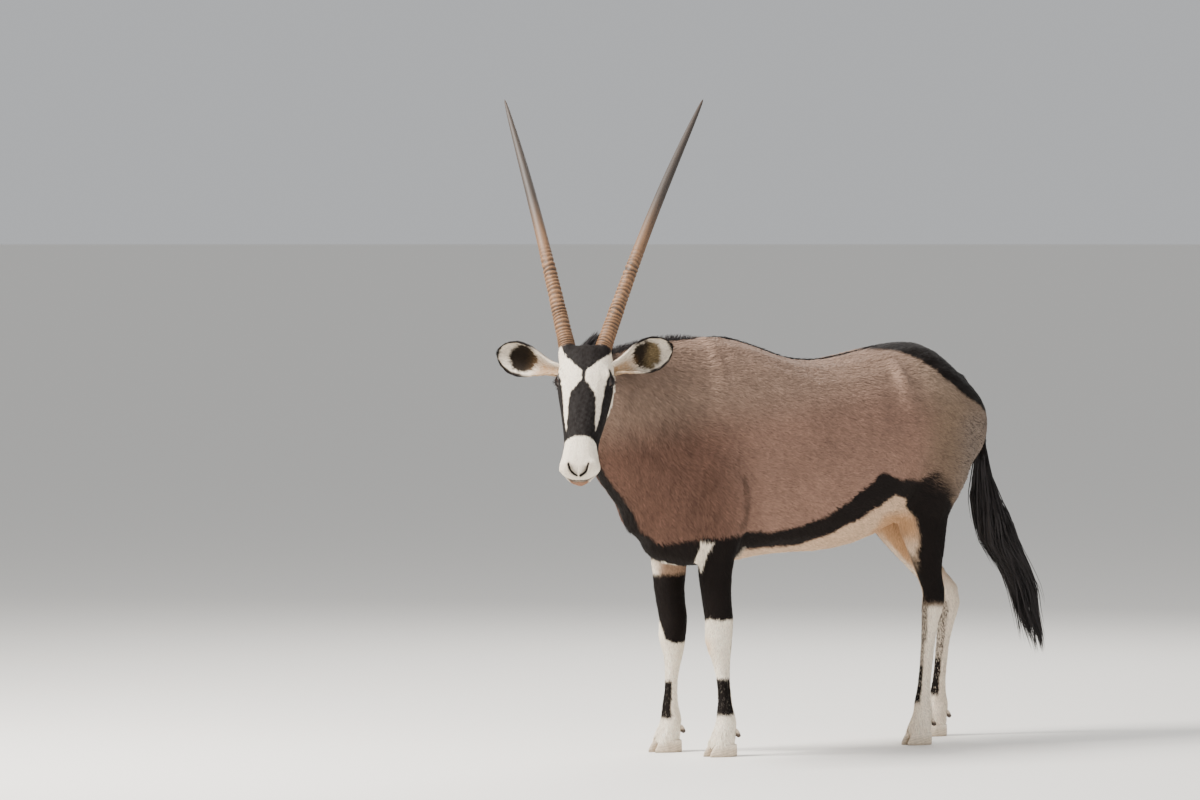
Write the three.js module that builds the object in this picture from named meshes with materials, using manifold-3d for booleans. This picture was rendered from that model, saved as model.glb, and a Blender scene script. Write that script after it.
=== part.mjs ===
// A life-size standing gemsbok, in millimetres: +X forward, +Y to its left, +Z up, the soles at Z = 0.
// The trunk, neck, head and legs are lofted rings, joined into one body and parted again by thin cuts.
import * as THREE from "three";
import { mergeVertices } from "three/addons/utils/BufferGeometryUtils.js";
import Module from "manifold-3d";

const wasm = await Module();
wasm.setup();

// Driving sizes
const GAP = 0.35; // between two nodes that meet
const STANCE_HALF = 115; // a foot's distance from the middle plane
const POLL = [916, 116, 1163]; // the top of the head, between the horns
const HEAD_YAW = 46; // degrees, the head's turn to the left
const HEAD_PITCH = 55; // degrees, the face below level
const EYE_RADIUS = 18.5;
const HORN_LENGTH = 892;
const HORN_BASE_RADIUS = 22.5;
const HORN_SPREAD = 15.3; // degrees from the middle plane
const EAR_LENGTH = 194;
const CROWN_SHIFT = -6; // horns and ears sit a little to the right of the face's middle line
const CORONET = 36; // height of the hair line over the hooves
const SEED = 7;

// Repeatable draw between 0 and 1
let state = SEED;
function draw() {
  state = (state * 1664525 + 1013904223) % 4294967296;
  return state / 4294967296;
}
const between = (low, high) => low + (high - low) * draw();
const rad = THREE.MathUtils.degToRad;
const v3 = (x, y, z) => new THREE.Vector3(x, y, z);

// A manifold solid from a three.js geometry, and back
function solid(geometry) {
  const bare = geometry.clone();
  const spare = Object.keys(bare.attributes).filter((name) => name !== "position");
  for (const name of spare) bare.deleteAttribute(name);
  const merged = mergeVertices(bare, 1e-3);
  const triVerts = new Uint32Array(merged.index.array);
  const vertProperties = new Float32Array(merged.attributes.position.array);
  return new wasm.Manifold(new wasm.Mesh({ numProp: 3, vertProperties, triVerts }));
}
function largest(made) {
  const pieces = made.decompose().sort((a, b) => b.volume() - a.volume());
  return pieces[0];
}
function geometryOf(made) {
  const mesh = made.getMesh();
  const places = new Float32Array(mesh.numVert * 3);
  for (let i = 0; i < mesh.numVert; i++)
    places.set(mesh.vertProperties.subarray(i * mesh.numProp, i * mesh.numProp + 3), i * 3);
  const geometry = new THREE.BufferGeometry();
  geometry.setAttribute("position", new THREE.BufferAttribute(places, 3));
  geometry.setIndex(new THREE.BufferAttribute(new Uint32Array(mesh.triVerts), 1));
  geometry.computeVertexNormals();
  return geometry;
}

// A closed loft through rings of equal point counts, each end closed by a fan
function loft(rings) {
  const sides = rings[0].length;
  const places = [];
  const faces = [];
  for (const ring of rings) for (const p of ring) places.push(p.x, p.y, p.z);
  for (let r = 0; r + 1 < rings.length; r++)
    for (let k = 0; k < sides; k++) {
      const a = r * sides + k;
      const b = r * sides + ((k + 1) % sides);
      faces.push(a, b, b + sides, a, b + sides, a + sides);
    }
  for (const [r, flip] of [[0, true], [rings.length - 1, false]]) {
    const middle = rings[r].reduce((sum, p) => sum.add(p), v3(0, 0, 0)).divideScalar(sides);
    const centre = places.length / 3;
    places.push(middle.x, middle.y, middle.z);
    for (let k = 0; k < sides; k++) {
      const a = r * sides + k;
      const b = r * sides + ((k + 1) % sides);
      faces.push(...(flip ? [centre, b, a] : [centre, a, b]));
    }
  }
  const geometry = new THREE.BufferGeometry();
  geometry.setAttribute("position", new THREE.Float32BufferAttribute(places, 3));
  geometry.setIndex(faces);
  const made = solid(geometry);
  if (made.volume() > 0) return made;
  for (let i = 0; i < faces.length; i += 3) [faces[i + 1], faces[i + 2]] = [faces[i + 2], faces[i + 1]];
  geometry.setIndex(faces);
  return solid(geometry);
}

// Key stations with equal number fields, resampled smoothly to `count` stations
function smooth(keys, count) {
  const fields = Object.keys(keys[0]);
  const made = [];
  for (let i = 0; i < count; i++) {
    const t = (i / (count - 1)) * (keys.length - 1);
    const k = Math.min(Math.floor(t), keys.length - 2);
    const f = t - k;
    const at = (n) => keys[Math.min(Math.max(n, 0), keys.length - 1)];
    const station = {};
    for (const name of fields) {
      const [p0, p1, p2, p3] = [at(k - 1)[name], at(k)[name], at(k + 1)[name], at(k + 2)[name]];
      const bend = 2 * p0 - 5 * p1 + 4 * p2 - p3;
      const twist = 3 * p1 - p0 - 3 * p2 + p3;
      station[name] = 0.5 * (2 * p1 + (p2 - p0) * f + bend * f ** 2 + twist * f ** 3);
    }
    made.push(station);
  }
  return made;
}

// One ring: an oval about `middle`, with its own reach above and below, and flatter or sharper by `power`
function oval(middle, side, up, half, above, below, sides, power = 1) {
  const ring = [];
  for (let k = 0; k < sides; k++) {
    const angle = (2 * Math.PI * (k + 0.5)) / sides;
    const c = Math.cos(angle);
    const s = Math.sin(angle);
    const out = Math.sign(c) * Math.abs(c) ** power * half;
    const high = s > 0 ? s * above : s * below;
    ring.push(middle.clone().addScaledVector(side, out).addScaledVector(up, high));
  }
  return ring;
}

const Y = v3(0, 1, 0);
const Z = v3(0, 0, 1);

// Trunk: rings across X from the breast to the buttocks
const TRUNK = [
  { x: 632, top: 820, bottom: 652, half: 30, belt: 0.45 },
  { x: 600, top: 980, bottom: 586, half: 84, belt: 0.45 },
  { x: 540, top: 1110, bottom: 548, half: 132, belt: 0.45 },
  { x: 440, top: 1192, bottom: 538, half: 168, belt: 0.45 },
  { x: 330, top: 1190, bottom: 545, half: 184, belt: 0.45 },
  { x: 220, top: 1163, bottom: 560, half: 202, belt: 0.44 },
  { x: 110, top: 1131, bottom: 566, half: 216, belt: 0.44 },
  { x: 0, top: 1124, bottom: 568, half: 224, belt: 0.44 },
  { x: -110, top: 1138, bottom: 582, half: 224, belt: 0.45 },
  { x: -210, top: 1157, bottom: 614, half: 212, belt: 0.47 },
  { x: -300, top: 1169, bottom: 664, half: 194, belt: 0.52 },
  { x: -365, top: 1172, bottom: 706, half: 182, belt: 0.56 },
  { x: -425, top: 1150, bottom: 735, half: 173, belt: 0.56 },
  { x: -488, top: 1104, bottom: 760, half: 162, belt: 0.55 },
  { x: -546, top: 1062, bottom: 790, half: 142, belt: 0.52 },
  { x: -590, top: 1026, bottom: 832, half: 102, belt: 0.5 },
  { x: -613, top: 988, bottom: 885, half: 52, belt: 0.5 },
];
const TRUNK_RINGS = 27;
const TRUNK_SIDES = 24;
function trunk(grow = 0) {
  const rings = smooth(TRUNK, TRUNK_RINGS).map((s) => {
    const level = s.bottom + (s.top - s.bottom) * s.belt;
    const above = s.top - level + grow;
    const below = level - s.bottom + grow;
    return oval(v3(s.x, 0, level), Y, Z, s.half + grow, above, below, TRUNK_SIDES, 0.92);
  });
  return loft(rings);
}

// Neck: each ring stands between a point on the crest and a point on the throat
const NECK = [
  { tx: 230, ty: 0, tz: 1140, bx: 330, by: 0, bz: 620, half: 120, yaw: 0 },
  { tx: 390, ty: 0, tz: 1186, bx: 606, by: 0, bz: 602, half: 142, yaw: 2 },
  { tx: 500, ty: 3, tz: 1188, bx: 686, by: 8, bz: 696, half: 127, yaw: 8 },
  { tx: 615, ty: 14, tz: 1177, bx: 762, by: 26, bz: 770, half: 108, yaw: 16 },
  { tx: 725, ty: 38, tz: 1161, bx: 838, by: 58, bz: 836, half: 92, yaw: 26 },
  { tx: 820, ty: 74, tz: 1147, bx: 884, by: 96, bz: 900, half: 80, yaw: 38 },
  { tx: 880, ty: 104, tz: 1132, bx: 893, by: 112, bz: 950, half: 68, yaw: 46 },
];
const NECK_RINGS = 13;
const NECK_SIDES = 20;
const neckStations = smooth(NECK, NECK_RINGS).map((s) => {
  const top = v3(s.tx, s.ty, s.tz);
  const bottom = v3(s.bx, s.by, s.bz);
  const side = v3(-Math.sin(rad(s.yaw)), Math.cos(rad(s.yaw)), 0);
  const up = top.clone().sub(bottom);
  const height = up.length();
  up.normalize();
  side.addScaledVector(up, -side.dot(up)).normalize();
  return { top, bottom, side, up, height, half: s.half };
});
function neck(grow = 0) {
  const rings = neckStations.map((s) => {
    const reach = s.height / 2;
    const middle = s.bottom.clone().addScaledVector(s.up, reach);
    return oval(middle, s.side, s.up, s.half + grow, reach + grow, reach + grow, NECK_SIDES, 0.95);
  });
  return loft(rings);
}

// Head, in its own frame: X from the poll down the face, Y to its left, Z out of the face
const headFrame = new THREE.Matrix4();
{
  const yaw = rad(HEAD_YAW);
  const pitch = rad(HEAD_PITCH);
  const along = v3(Math.cos(yaw) * Math.cos(pitch), Math.sin(yaw) * Math.cos(pitch), -Math.sin(pitch));
  const left = v3(-Math.sin(yaw), Math.cos(yaw), 0);
  const out = v3(Math.cos(yaw) * Math.sin(pitch), Math.sin(yaw) * Math.sin(pitch), Math.cos(pitch));
  headFrame.makeBasis(along, left, out).setPosition(...POLL);
}
const HEAD = [
  { a: -46, top: -56, bottom: -124, half: 41, belt: 0.5 },
  { a: -34, top: -25, bottom: -152, half: 60, belt: 0.5 },
  { a: -6, top: -8, bottom: -170, half: 74, belt: 0.6 },
  { a: 34, top: -1, bottom: -182, half: 79, belt: 0.66 },
  { a: 76, top: 2, bottom: -188, half: 80, belt: 0.7 },
  { a: 112, top: -1, bottom: -184, half: 76, belt: 0.7 },
  { a: 152, top: -6, bottom: -170, half: 68, belt: 0.64 },
  { a: 198, top: -9, bottom: -151, half: 60, belt: 0.58 },
  { a: 244, top: -13, bottom: -132, half: 52, belt: 0.56 },
  { a: 287, top: -18, bottom: -117, half: 48, belt: 0.52 },
  { a: 322, top: -23, bottom: -111, half: 52, belt: 0.5 },
  { a: 350, top: -29, bottom: -109, half: 58, belt: 0.5 },
  { a: 372, top: -37, bottom: -105, half: 52, belt: 0.5 },
  { a: 387, top: -50, bottom: -99, half: 37, belt: 0.5 },
  { a: 394, top: -65, bottom: -88, half: 18, belt: 0.5 },
];
const HEAD_RINGS = 22;
const HEAD_SIDES = 20;
const headStations = smooth(HEAD, HEAD_RINGS);
function skull(grow = 0) {
  const rings = headStations.map((s) => {
    const level = s.bottom + (s.top - s.bottom) * s.belt;
    const above = s.top - level + grow;
    const below = level - s.bottom + grow;
    return oval(v3(s.a - grow, 0, level), Y, Z, s.half + grow, above, below, HEAD_SIDES, 0.8);
  });
  return loft(rings);
}
// A point of the head's surface at a distance down the face, at an angle up from its left side
function onHead(a, angle) {
  const n = headStations.findIndex((s) => s.a > a);
  const [p, q] = [headStations[n - 1], headStations[n]];
  const f = (a - p.a) / (q.a - p.a);
  const s = {};
  for (const name of Object.keys(p)) s[name] = p[name] + (q[name] - p[name]) * f;
  const level = s.bottom + (s.top - s.bottom) * s.belt;
  const c = Math.cos(rad(angle));
  const high = Math.sin(rad(angle));
  const out = Math.sign(c) * Math.abs(c) ** 0.8 * s.half;
  return v3(s.a, out, level + high * (high > 0 ? s.top - level : level - s.bottom));
}

// A tube along points, round or flattened, its radius given at each point
function tube(points, radii, sides, flat = 1, flatWay = Z) {
  const rings = points.map((p, i) => {
    const next = points[Math.min(i + 1, points.length - 1)];
    const ahead = next.clone().sub(points[Math.max(i - 1, 0)]).normalize();
    const side = v3(0, 0, 0).crossVectors(ahead, flatWay).normalize();
    const up = v3(0, 0, 0).crossVectors(side, ahead).normalize();
    return oval(p, side, up, radii[i], radii[i] * flat, radii[i] * flat, sides);
  });
  return loft(rings);
}
const ball = (centre, radius, across = 16, high = 12, scale = [1, 1, 1]) =>
  solid(new THREE.SphereGeometry(radius, across, high).scale(...scale).translate(centre.x, centre.y, centre.z));

// Eyes, with the lids as a shell over each that an almond opening parts
const EYE = { a: 80, l: 62, d: -40 };
const LID = 4.5;
const OPENING_LONG = 36;
const OPENING_HIGH = 23;
const eyeCentre = (side) => v3(EYE.a, side * EYE.l, EYE.d);
const eyeWay = (side) => v3(0.34, side * 0.84, 0.42).normalize();
const lidBall = (side) => ball(eyeCentre(side), EYE_RADIUS + LID, 14, 9);
function eyeOpening(side) {
  const almond = new THREE.Shape();
  const reach = OPENING_LONG / 2;
  almond.moveTo(-reach, 0);
  almond.quadraticCurveTo(0, OPENING_HIGH, reach, -2);
  almond.quadraticCurveTo(0, -OPENING_HIGH, -reach, 0);
  const depth = EYE_RADIUS * 2.2;
  const prism = new THREE.ExtrudeGeometry(almond, { depth, bevelEnabled: false, curveSegments: 6 });
  const way = eyeWay(side);
  const along = v3(0.93, 0, -0.36); // the lids' line, from the inner corner up to the outer one
  along.addScaledVector(way, -along.dot(way)).normalize();
  const frame = new THREE.Matrix4().makeBasis(along, v3(0, 0, 0).crossVectors(way, along), way);
  frame.setPosition(eyeCentre(side).addScaledVector(way, 4));
  return solid(prism.applyMatrix4(frame));
}

// The socket's upper rim, a low ridge over each eye
const brow = (side) =>
  tube(
    [v3(38, side * 54, -26), v3(62, side * 63, -22), v3(84, side * 65, -22), v3(112, side * 58, -26)],
    [6, 11, 11, 5],
    8,
  );

// Nostrils: two slanting commas sunk into the muzzle
function nostril(side) {
  const path = [
    v3(347, side * 40, -34),
    v3(360, side * 41, -42),
    v3(373, side * 34, -50),
    v3(384, side * 22, -57),
    v3(391, side * 12, -62),
  ];
  return tube(path, [2, 5, 6, 5, 2], 8, 0.8);
}
// The line of the mouth, from one corner round the front to the other
const MOUTH_CORNER = 300;
const MOUTH_FRONT = 391;
const MOUTH_LINE = -12; // degrees below the muzzle's widest line
const MOUTH_STEPS = 7;
function mouth() {
  const left = [];
  for (let i = 0; i < MOUTH_STEPS; i++) {
    const a = THREE.MathUtils.lerp(MOUTH_CORNER, MOUTH_FRONT, i / (MOUTH_STEPS - 1));
    left.push(onHead(a, MOUTH_LINE));
  }
  const front = v3(395, 0, left.at(-1).z);
  const path = [...left, front, ...left.map((p) => v3(p.x, -p.y, p.z)).reverse()];
  const radii = path.map((p, i) => (i === 0 || i === path.length - 1 ? 1 : 2.4));
  return tube(path, radii, 5);
}

// The skull's collar round a horn's root
const COLLAR_FROM = -0.06; // shares of the horn's length
const COLLAR_TO = -0.002;
const COLLAR_RADII = [34, 31, 26];
function collar(side, grow = 0) {
  const places = [COLLAR_FROM, (COLLAR_FROM + COLLAR_TO) / 2, COLLAR_TO];
  const radii = COLLAR_RADII.map((radius) => radius + grow);
  return tube(places.map((t) => hornPoint(side, t)), radii, 12);
}
const crown = (grow = 0) => skull(grow).add(collar(1, grow)).add(collar(-1, grow));

function head() {
  let made = crown();
  for (const side of [1, -1]) {
    made = made.add(lidBall(side));
    made = made.add(brow(side)).add(ball(v3(353, side * 31, -60), 25, 10, 7, [1.25, 1, 1.2]));
  }
  made = made.add(ball(v3(358, 0, -103), 24, 10, 7, [1.3, 1.3, 0.6])); // chin
  for (const side of [1, -1]) {
    made = made.subtract(ball(eyeCentre(side), EYE_RADIUS + GAP, 14, 9));
    made = made.subtract(eyeOpening(side)).subtract(nostril(side));
  }
  return made.subtract(mouth());
}

// Horns: straight, ringed over the lower part, smooth to the tip
const HORN_ROOT = { a: -38, l: 51, d: -48 };
const HORN_RINGS = 16;
const HORN_RINGED = 360;
const HORN_SIDES = 10;
const HORN_BOW = 20; // how far the middle bends forward of a straight line
const HORN_BOW_IN = 6; // and how far inward
const HORN_PLAIN = 8; // stations from the last ring to the tip
const RING_HEIGHT = 2.4;
const hornWaist = (t) => 1 - 0.07 * Math.sin(Math.PI * Math.min(1.5 * t, 1));
const hornRadius = (t) => HORN_BASE_RADIUS * (1 - t) ** 0.5 * hornWaist(t) + 0.8;
function hornPoint(side, t) {
  const bow = Math.sin(Math.PI * t);
  const out = Math.sin(rad(HORN_SPREAD)) * HORN_LENGTH * t - bow * HORN_BOW_IN;
  const back = Math.cos(rad(HORN_SPREAD)) * HORN_LENGTH * t;
  const across = side * (HORN_ROOT.l + out) + CROWN_SHIFT;
  return v3(HORN_ROOT.a - back, across, HORN_ROOT.d + bow * HORN_BOW);
}
function horn(side, grow = 0) {
  const stations = [{ t: -0.05, grow: 0 }];
  for (let i = 0; i < HORN_RINGS; i++) {
    const low = (HORN_RINGED / HORN_LENGTH) * (i / HORN_RINGS) ** 1.15;
    const high = (HORN_RINGED / HORN_LENGTH) * ((i + 1) / HORN_RINGS) ** 1.15;
    const fade = 1 - 0.55 * (i / HORN_RINGS);
    stations.push({ t: low + (high - low) * 0.12, grow: -0.5 * fade });
    stations.push({ t: low + (high - low) * 0.7, grow: RING_HEIGHT * fade });
  }
  for (let i = 1; i <= HORN_PLAIN; i++) {
    const from = HORN_RINGED / HORN_LENGTH;
    stations.push({ t: from + (1 - from) * (i / HORN_PLAIN), grow: 0 });
  }
  const points = stations.map((s) => hornPoint(side, s.t));
  const radii = stations.map((s) => (s.t < 1 ? hornRadius(Math.max(s.t, 0)) + s.grow : 1.2) + grow);
  return tube(points, radii, HORN_SIDES);
}

// Ears: a crescent across, closed to a stalk at the root and open in front
const EAR_ROOT = { a: 28, l: 64, d: -66 };
const EAR = [
  { s: -0.1, half: 15, deep: 15, wall: 14 },
  { s: 0.06, half: 18, deep: 20, wall: 16 },
  { s: 0.2, half: 22, deep: 25, wall: 10 },
  { s: 0.36, half: 33, deep: 32, wall: 6 },
  { s: 0.54, half: 47, deep: 36, wall: 5 },
  { s: 0.72, half: 49, deep: 31, wall: 4.5 },
  { s: 0.87, half: 38, deep: 21, wall: 4 },
  { s: 0.96, half: 22, deep: 11, wall: 3.5 },
  { s: 1, half: 9, deep: 5, wall: 2.5 },
];
const EAR_LIFT = { 1: 0.38, "-1": 0.27 };
const EAR_RINGS = 12;
const EAR_ARC = 8;
function ear(side) {
  const yaw = rad(HEAD_YAW);
  const forward = v3(Math.cos(yaw), Math.sin(yaw), 0);
  const left = v3(-Math.sin(yaw), Math.cos(yaw), 0);
  const along = left.clone().multiplyScalar(side * 0.95).addScaledVector(Z, EAR_LIFT[side]);
  along.addScaledVector(forward, -0.16).normalize();
  const face = forward.clone().addScaledVector(Z, -0.06).addScaledVector(left, side * 0.16);
  face.addScaledVector(along, -face.dot(along)).normalize();
  const across = v3(0, 0, 0).crossVectors(face, along);
  const root = v3(EAR_ROOT.a, side * EAR_ROOT.l + CROWN_SHIFT, EAR_ROOT.d).applyMatrix4(headFrame);
  const rings = smooth(EAR, EAR_RINGS).map((s) => {
    const middle = root.clone().addScaledVector(along, s.s * EAR_LENGTH);
    const ring = [];
    for (const [inner, order] of [[false, 1], [true, -1]])
      for (let k = 0; k < EAR_ARC; k++) {
        const share = order > 0 ? k / (EAR_ARC - 1) : 1 - k / (EAR_ARC - 1);
        const angle = Math.PI * (share - 0.5) * 1.16;
        const wall = inner ? s.wall : 0;
        const half = Math.max(s.half - wall * 0.8, 1.2);
        const deep = inner ? Math.max(s.deep - wall * 1.2, 0.6) : s.deep;
        const lift = inner ? 1.2 : 0;
        const sunk = lift - Math.cos(angle) * deep + s.deep * 0.35;
        ring.push(middle.clone().addScaledVector(across, Math.sin(angle) * half).addScaledVector(face, sunk));
      }
    return ring;
  });
  return loft(rings);
}

// Legs: rings along the bones, each with its reach ahead, behind and to each side
function leg(stations, side, count, sides, grow) {
  const fine = smooth(stations, count);
  const points = fine.map((s) => v3(s.x, side * s.y, s.z));
  const rings = fine.map((s, i) => {
    const down = points[Math.min(i + 1, count - 1)].clone().sub(points[Math.max(i - 1, 0)]).normalize();
    if (i === count - 1) down.set(0, 0, -1);
    const lateral = Y.clone().addScaledVector(down, -Y.dot(down)).normalize();
    const ahead = v3(0, 0, 0).crossVectors(down, lateral).multiplyScalar(-1).normalize();
    if (ahead.x < 0) ahead.negate();
    return oval(points[i], lateral, ahead, s.half + grow, s.fore + grow, s.aft + grow, sides, 0.95);
  });
  return loft(rings);
}
const LEG_RINGS = 27;
const LEG_SIDES = 14;
const FRONT_FOOT = { 1: 415, "-1": 432 }; // X of the fetlock, left and right
function frontLeg(side, grow = 0) {
  const x = FRONT_FOOT[side];
  const stations = [
    { x: 372, y: 86, z: 950, fore: 70, aft: 80, half: 60 },
    { x: 402, y: 108, z: 840, fore: 120, aft: 110, half: 70 },
    { x: 416, y: 112, z: 730, fore: 112, aft: 112, half: 66 },
    { x: x + 11, y: 100, z: 640, fore: 72, aft: 80, half: 57 },
    { x: x + 15, y: 94, z: 550, fore: 56, aft: 56, half: 46 },
    { x: x + 13, y: 96, z: 460, fore: 46, aft: 45, half: 41 },
    { x, y: 94, z: 385, fore: 43, aft: 41, half: 40 },
    { x: x + 4, y: 95, z: 330, fore: 41, aft: 39, half: 38 },
    { x, y: 98, z: 282, fore: 28, aft: 30, half: 27.5 },
    { x: x - 1, y: 106, z: 230, fore: 19, aft: 23, half: 19 },
    { x: x - 2, y: 112, z: 170, fore: 18, aft: 22, half: 17.5 },
    { x: x - 2, y: STANCE_HALF, z: 124, fore: 23, aft: 29, half: 23 },
    { x: x - 5, y: STANCE_HALF, z: 92, fore: 29, aft: 36, half: 28 },
    { x: x + 3, y: STANCE_HALF, z: 64, fore: 32, aft: 38, half: 30 },
    { x: x + 11, y: STANCE_HALF, z: CORONET, fore: 37, aft: 38, half: 33 },
  ];
  return leg(stations, side, LEG_RINGS, LEG_SIDES, grow);
}
const HIND_FOOT = { 1: -325, "-1": -582 };
const HOCK = { 1: { x: -362, z: 430 }, "-1": { x: -618, z: 404 } };
const STIFLE = { 1: { x: -300, z: 665 }, "-1": { x: -376, z: 668 } };
function hindLeg(side, grow = 0) {
  const foot = HIND_FOOT[side];
  const hock = HOCK[side];
  const stifle = STIFLE[side];
  const mix = THREE.MathUtils.lerp;
  const down = (f) => ({ x: mix(stifle.x, hock.x, f), z: mix(stifle.z, hock.z, f) });
  const stations = [
    { x: -430, y: 62, z: 1060, fore: 60, aft: 90, half: 50 },
    { x: -440, y: 84, z: 960, fore: 140, aft: 126, half: 76 },
    { x: mix(-430, stifle.x, 0.35), y: 100, z: 850, fore: 150, aft: 136, half: 82 },
    { x: mix(-430, stifle.x, 0.75), y: 110, z: 745, fore: 115, aft: 122, half: 74 },
    { x: stifle.x - 22, y: 112, z: stifle.z, fore: 80, aft: 96, half: 62 },
    { x: down(0.35).x - 14, y: 114, z: down(0.36).z, fore: 58, aft: 72, half: 47 },
    { x: down(0.7).x - 6, y: STANCE_HALF, z: down(0.7).z, fore: 37, aft: 46, half: 32 },
    { x: hock.x - 4, y: STANCE_HALF, z: hock.z + 14, fore: 33, aft: 44, half: 27 },
    { x: hock.x, y: STANCE_HALF, z: hock.z - 32, fore: 31, aft: 39, half: 28 },
    { x: mix(hock.x, foot, 0.26), y: STANCE_HALF, z: hock.z - 88, fore: 23, aft: 26, half: 21 },
    { x: mix(hock.x, foot, 0.5), y: STANCE_HALF, z: 260, fore: 19.5, aft: 22, half: 17.5 },
    { x: mix(hock.x, foot, 0.8), y: STANCE_HALF, z: 170, fore: 19, aft: 22, half: 17 },
    { x: foot - 1, y: STANCE_HALF, z: 124, fore: 23, aft: 29, half: 22 },
    { x: foot - 3, y: STANCE_HALF, z: 92, fore: 28, aft: 35, half: 26.5 },
    { x: foot + 5, y: STANCE_HALF, z: 64, fore: 31, aft: 36, half: 28.5 },
    { x: foot + 14, y: STANCE_HALF, z: CORONET, fore: 35, aft: 36, half: 31 },
  ];
  return leg(stations, side, LEG_RINGS, LEG_SIDES, grow);
}

// Hooves: two claws to a foot, each with a flat sole and a pointed toe
const CLAW_LENGTH = 94;
const CLAW_WIDTH = 37;
function claw(footX, side, inner, size) {
  const middle = side * STANCE_HALF + inner * (CLAW_WIDTH * 0.5 * size + 1.5);
  const rings = [
    { z: 0, long: 1, wide: 1, back: 0 },
    { z: 10, long: 0.98, wide: 1.02, back: 1 },
    { z: 23, long: 0.88, wide: 0.98, back: 4 },
    { z: CORONET - GAP, long: 0.76, wide: 0.92, back: 7 },
  ].map((s) => {
    const ring = [];
    const steps = 12;
    for (let k = 0; k < steps; k++) {
      const angle = (2 * Math.PI * k) / steps;
      const c = Math.cos(angle);
      const w = Math.sin(angle) * (c > 0 ? 1 - 0.42 * c * c : 1);
      const reach = c > 0 ? 0.62 : 0.38;
      const toe = c > 0 ? -inner * 5 * c * c : 0;
      ring.push(
        v3(
          footX + c * reach * CLAW_LENGTH * size * s.long - s.back,
          middle + (w * CLAW_WIDTH * size * s.wide) / 2 + toe,
          s.z,
        ),
      );
    }
    return ring;
  });
  return loft(rings);
}
// Dew claws: a pair of blunt cones behind each fetlock
function dewClaw(footX, side, inner) {
  const root = v3(footX - 22, side * STANCE_HALF + inner * 14, 76);
  const tip = v3(footX - 43, side * STANCE_HALF + inner * 15, 55);
  const mid = root.clone().lerp(tip, 0.6);
  return tube([root, mid, tip], [10, 10, 6], 7, 0.9);
}

// A flat tapered lock of hair along points: widest at a third of its length, sharp at its tip
function lock(points, width, thick, flatWay) {
  const last = points.length - 1;
  const rings = points.map((p, i) => {
    const t = i / last;
    const ahead = points[Math.min(i + 1, last)].clone().sub(points[Math.max(i - 1, 0)]).normalize();
    const side = v3(0, 0, 0).crossVectors(ahead, flatWay).normalize();
    const up = v3(0, 0, 0).crossVectors(side, ahead).normalize();
    const wide = width * (0.55 + 0.9 * t) * (t < 0.35 ? 1 : ((1 - t) / 0.65) ** 0.75) * 0.5 + 0.5;
    const deep = (thick * (1 - t) ** 0.6) / 2 + 0.4;
    return [
      p.clone().addScaledVector(side, wide),
      p.clone().addScaledVector(up, deep),
      p.clone().addScaledVector(side, -wide),
      p.clone().addScaledVector(up, -deep),
    ];
  });
  return loft(rings);
}

// Mane: short stiff locks along the crest of the neck, from the poll to the withers
const MANE_LOCKS = 22;
const MANE_FROM = 0.93;
const MANE_TO = 0.2;
const MANE_LENGTH = 27;
const MANE_ROOT = 12;
function crest(t) {
  const f = t * (neckStations.length - 1);
  const n = Math.min(Math.floor(f), neckStations.length - 2);
  const place = neckStations[n].top.clone().lerp(neckStations[n + 1].top, f - n);
  const ahead = neckStations[n + 1].top.clone().sub(neckStations[n].top).normalize();
  return { place, ahead, up: neckStations[n].up, side: neckStations[n].side };
}
function maneLock(i) {
  const share = i / (MANE_LOCKS - 1);
  const at = crest(THREE.MathUtils.lerp(MANE_FROM, MANE_TO, share));
  const length = MANE_LENGTH * between(0.85, 1.1) * (1.15 - 0.6 * share);
  const lean = between(0.4, 0.7);
  const tilt = (i % 2 ? 1 : -1) * between(0.04, 0.2);
  const root = at.place.clone().addScaledVector(at.up, -MANE_ROOT).addScaledVector(at.side, tilt * 30);
  const points = [0, 0.4, 0.75, 1].map((t) => {
    const p = root.clone().addScaledVector(at.up, (length + MANE_ROOT) * t * (1 - 0.3 * t * lean));
    return p.addScaledVector(at.ahead, -length * lean * t * t).addScaledVector(at.side, tilt * length * t);
  });
  return lock(points, 30 * between(0.85, 1.15), 8, at.side);
}
// The locks stand on a low ridge along the crest
function mane() {
  const steps = 12;
  const line = [];
  for (let i = 0; i < steps; i++) {
    const at = crest(THREE.MathUtils.lerp(MANE_FROM + 0.02, MANE_TO - 0.02, i / (steps - 1)));
    line.push(at.place.clone().addScaledVector(at.up, 1));
  }
  const radii = line.map((p, i) => (i === 0 || i === steps - 1 ? 4 : 9));
  let made = tube(line, radii, 8);
  for (let i = 0; i < MANE_LOCKS; i++) made = made.add(maneLock(i));
  return made;
}

// Tail: a tapering dock, and long flat locks that leave it all round and fill a hanging brush
const DOCK = [
  { x: -580, y: 0, z: 1002, r: 24 },
  { x: -616, y: 1, z: 985, r: 23 },
  { x: -640, y: 3, z: 940, r: 20 },
  { x: -650, y: 5, z: 870, r: 18 },
  { x: -651, y: 8, z: 790, r: 16 },
  { x: -662, y: 11, z: 712, r: 14 },
  { x: -684, y: 16, z: 642, r: 12 },
  { x: -714, y: 20, z: 566, r: 8 },
];
const BRUSH = [
  { x: -650, y: 5, z: 880, r: 14 },
  { x: -651, y: 8, z: 781, r: 30 },
  { x: -665, y: 12, z: 712, r: 52 },
  { x: -686, y: 15, z: 642, r: 62 },
  { x: -711, y: 20, z: 572, r: 66 },
  { x: -756, y: 25, z: 501, r: 54 },
  { x: -786, y: 30, z: 431, r: 52 },
  { x: -798, y: 35, z: 362, r: 43 },
  { x: -812, y: 40, z: 292, r: 33 },
  { x: -824, y: 42, z: 236, r: 24 },
];
const dockStations = smooth(DOCK, 15);
const TAIL_LOCKS = 20;
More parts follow.
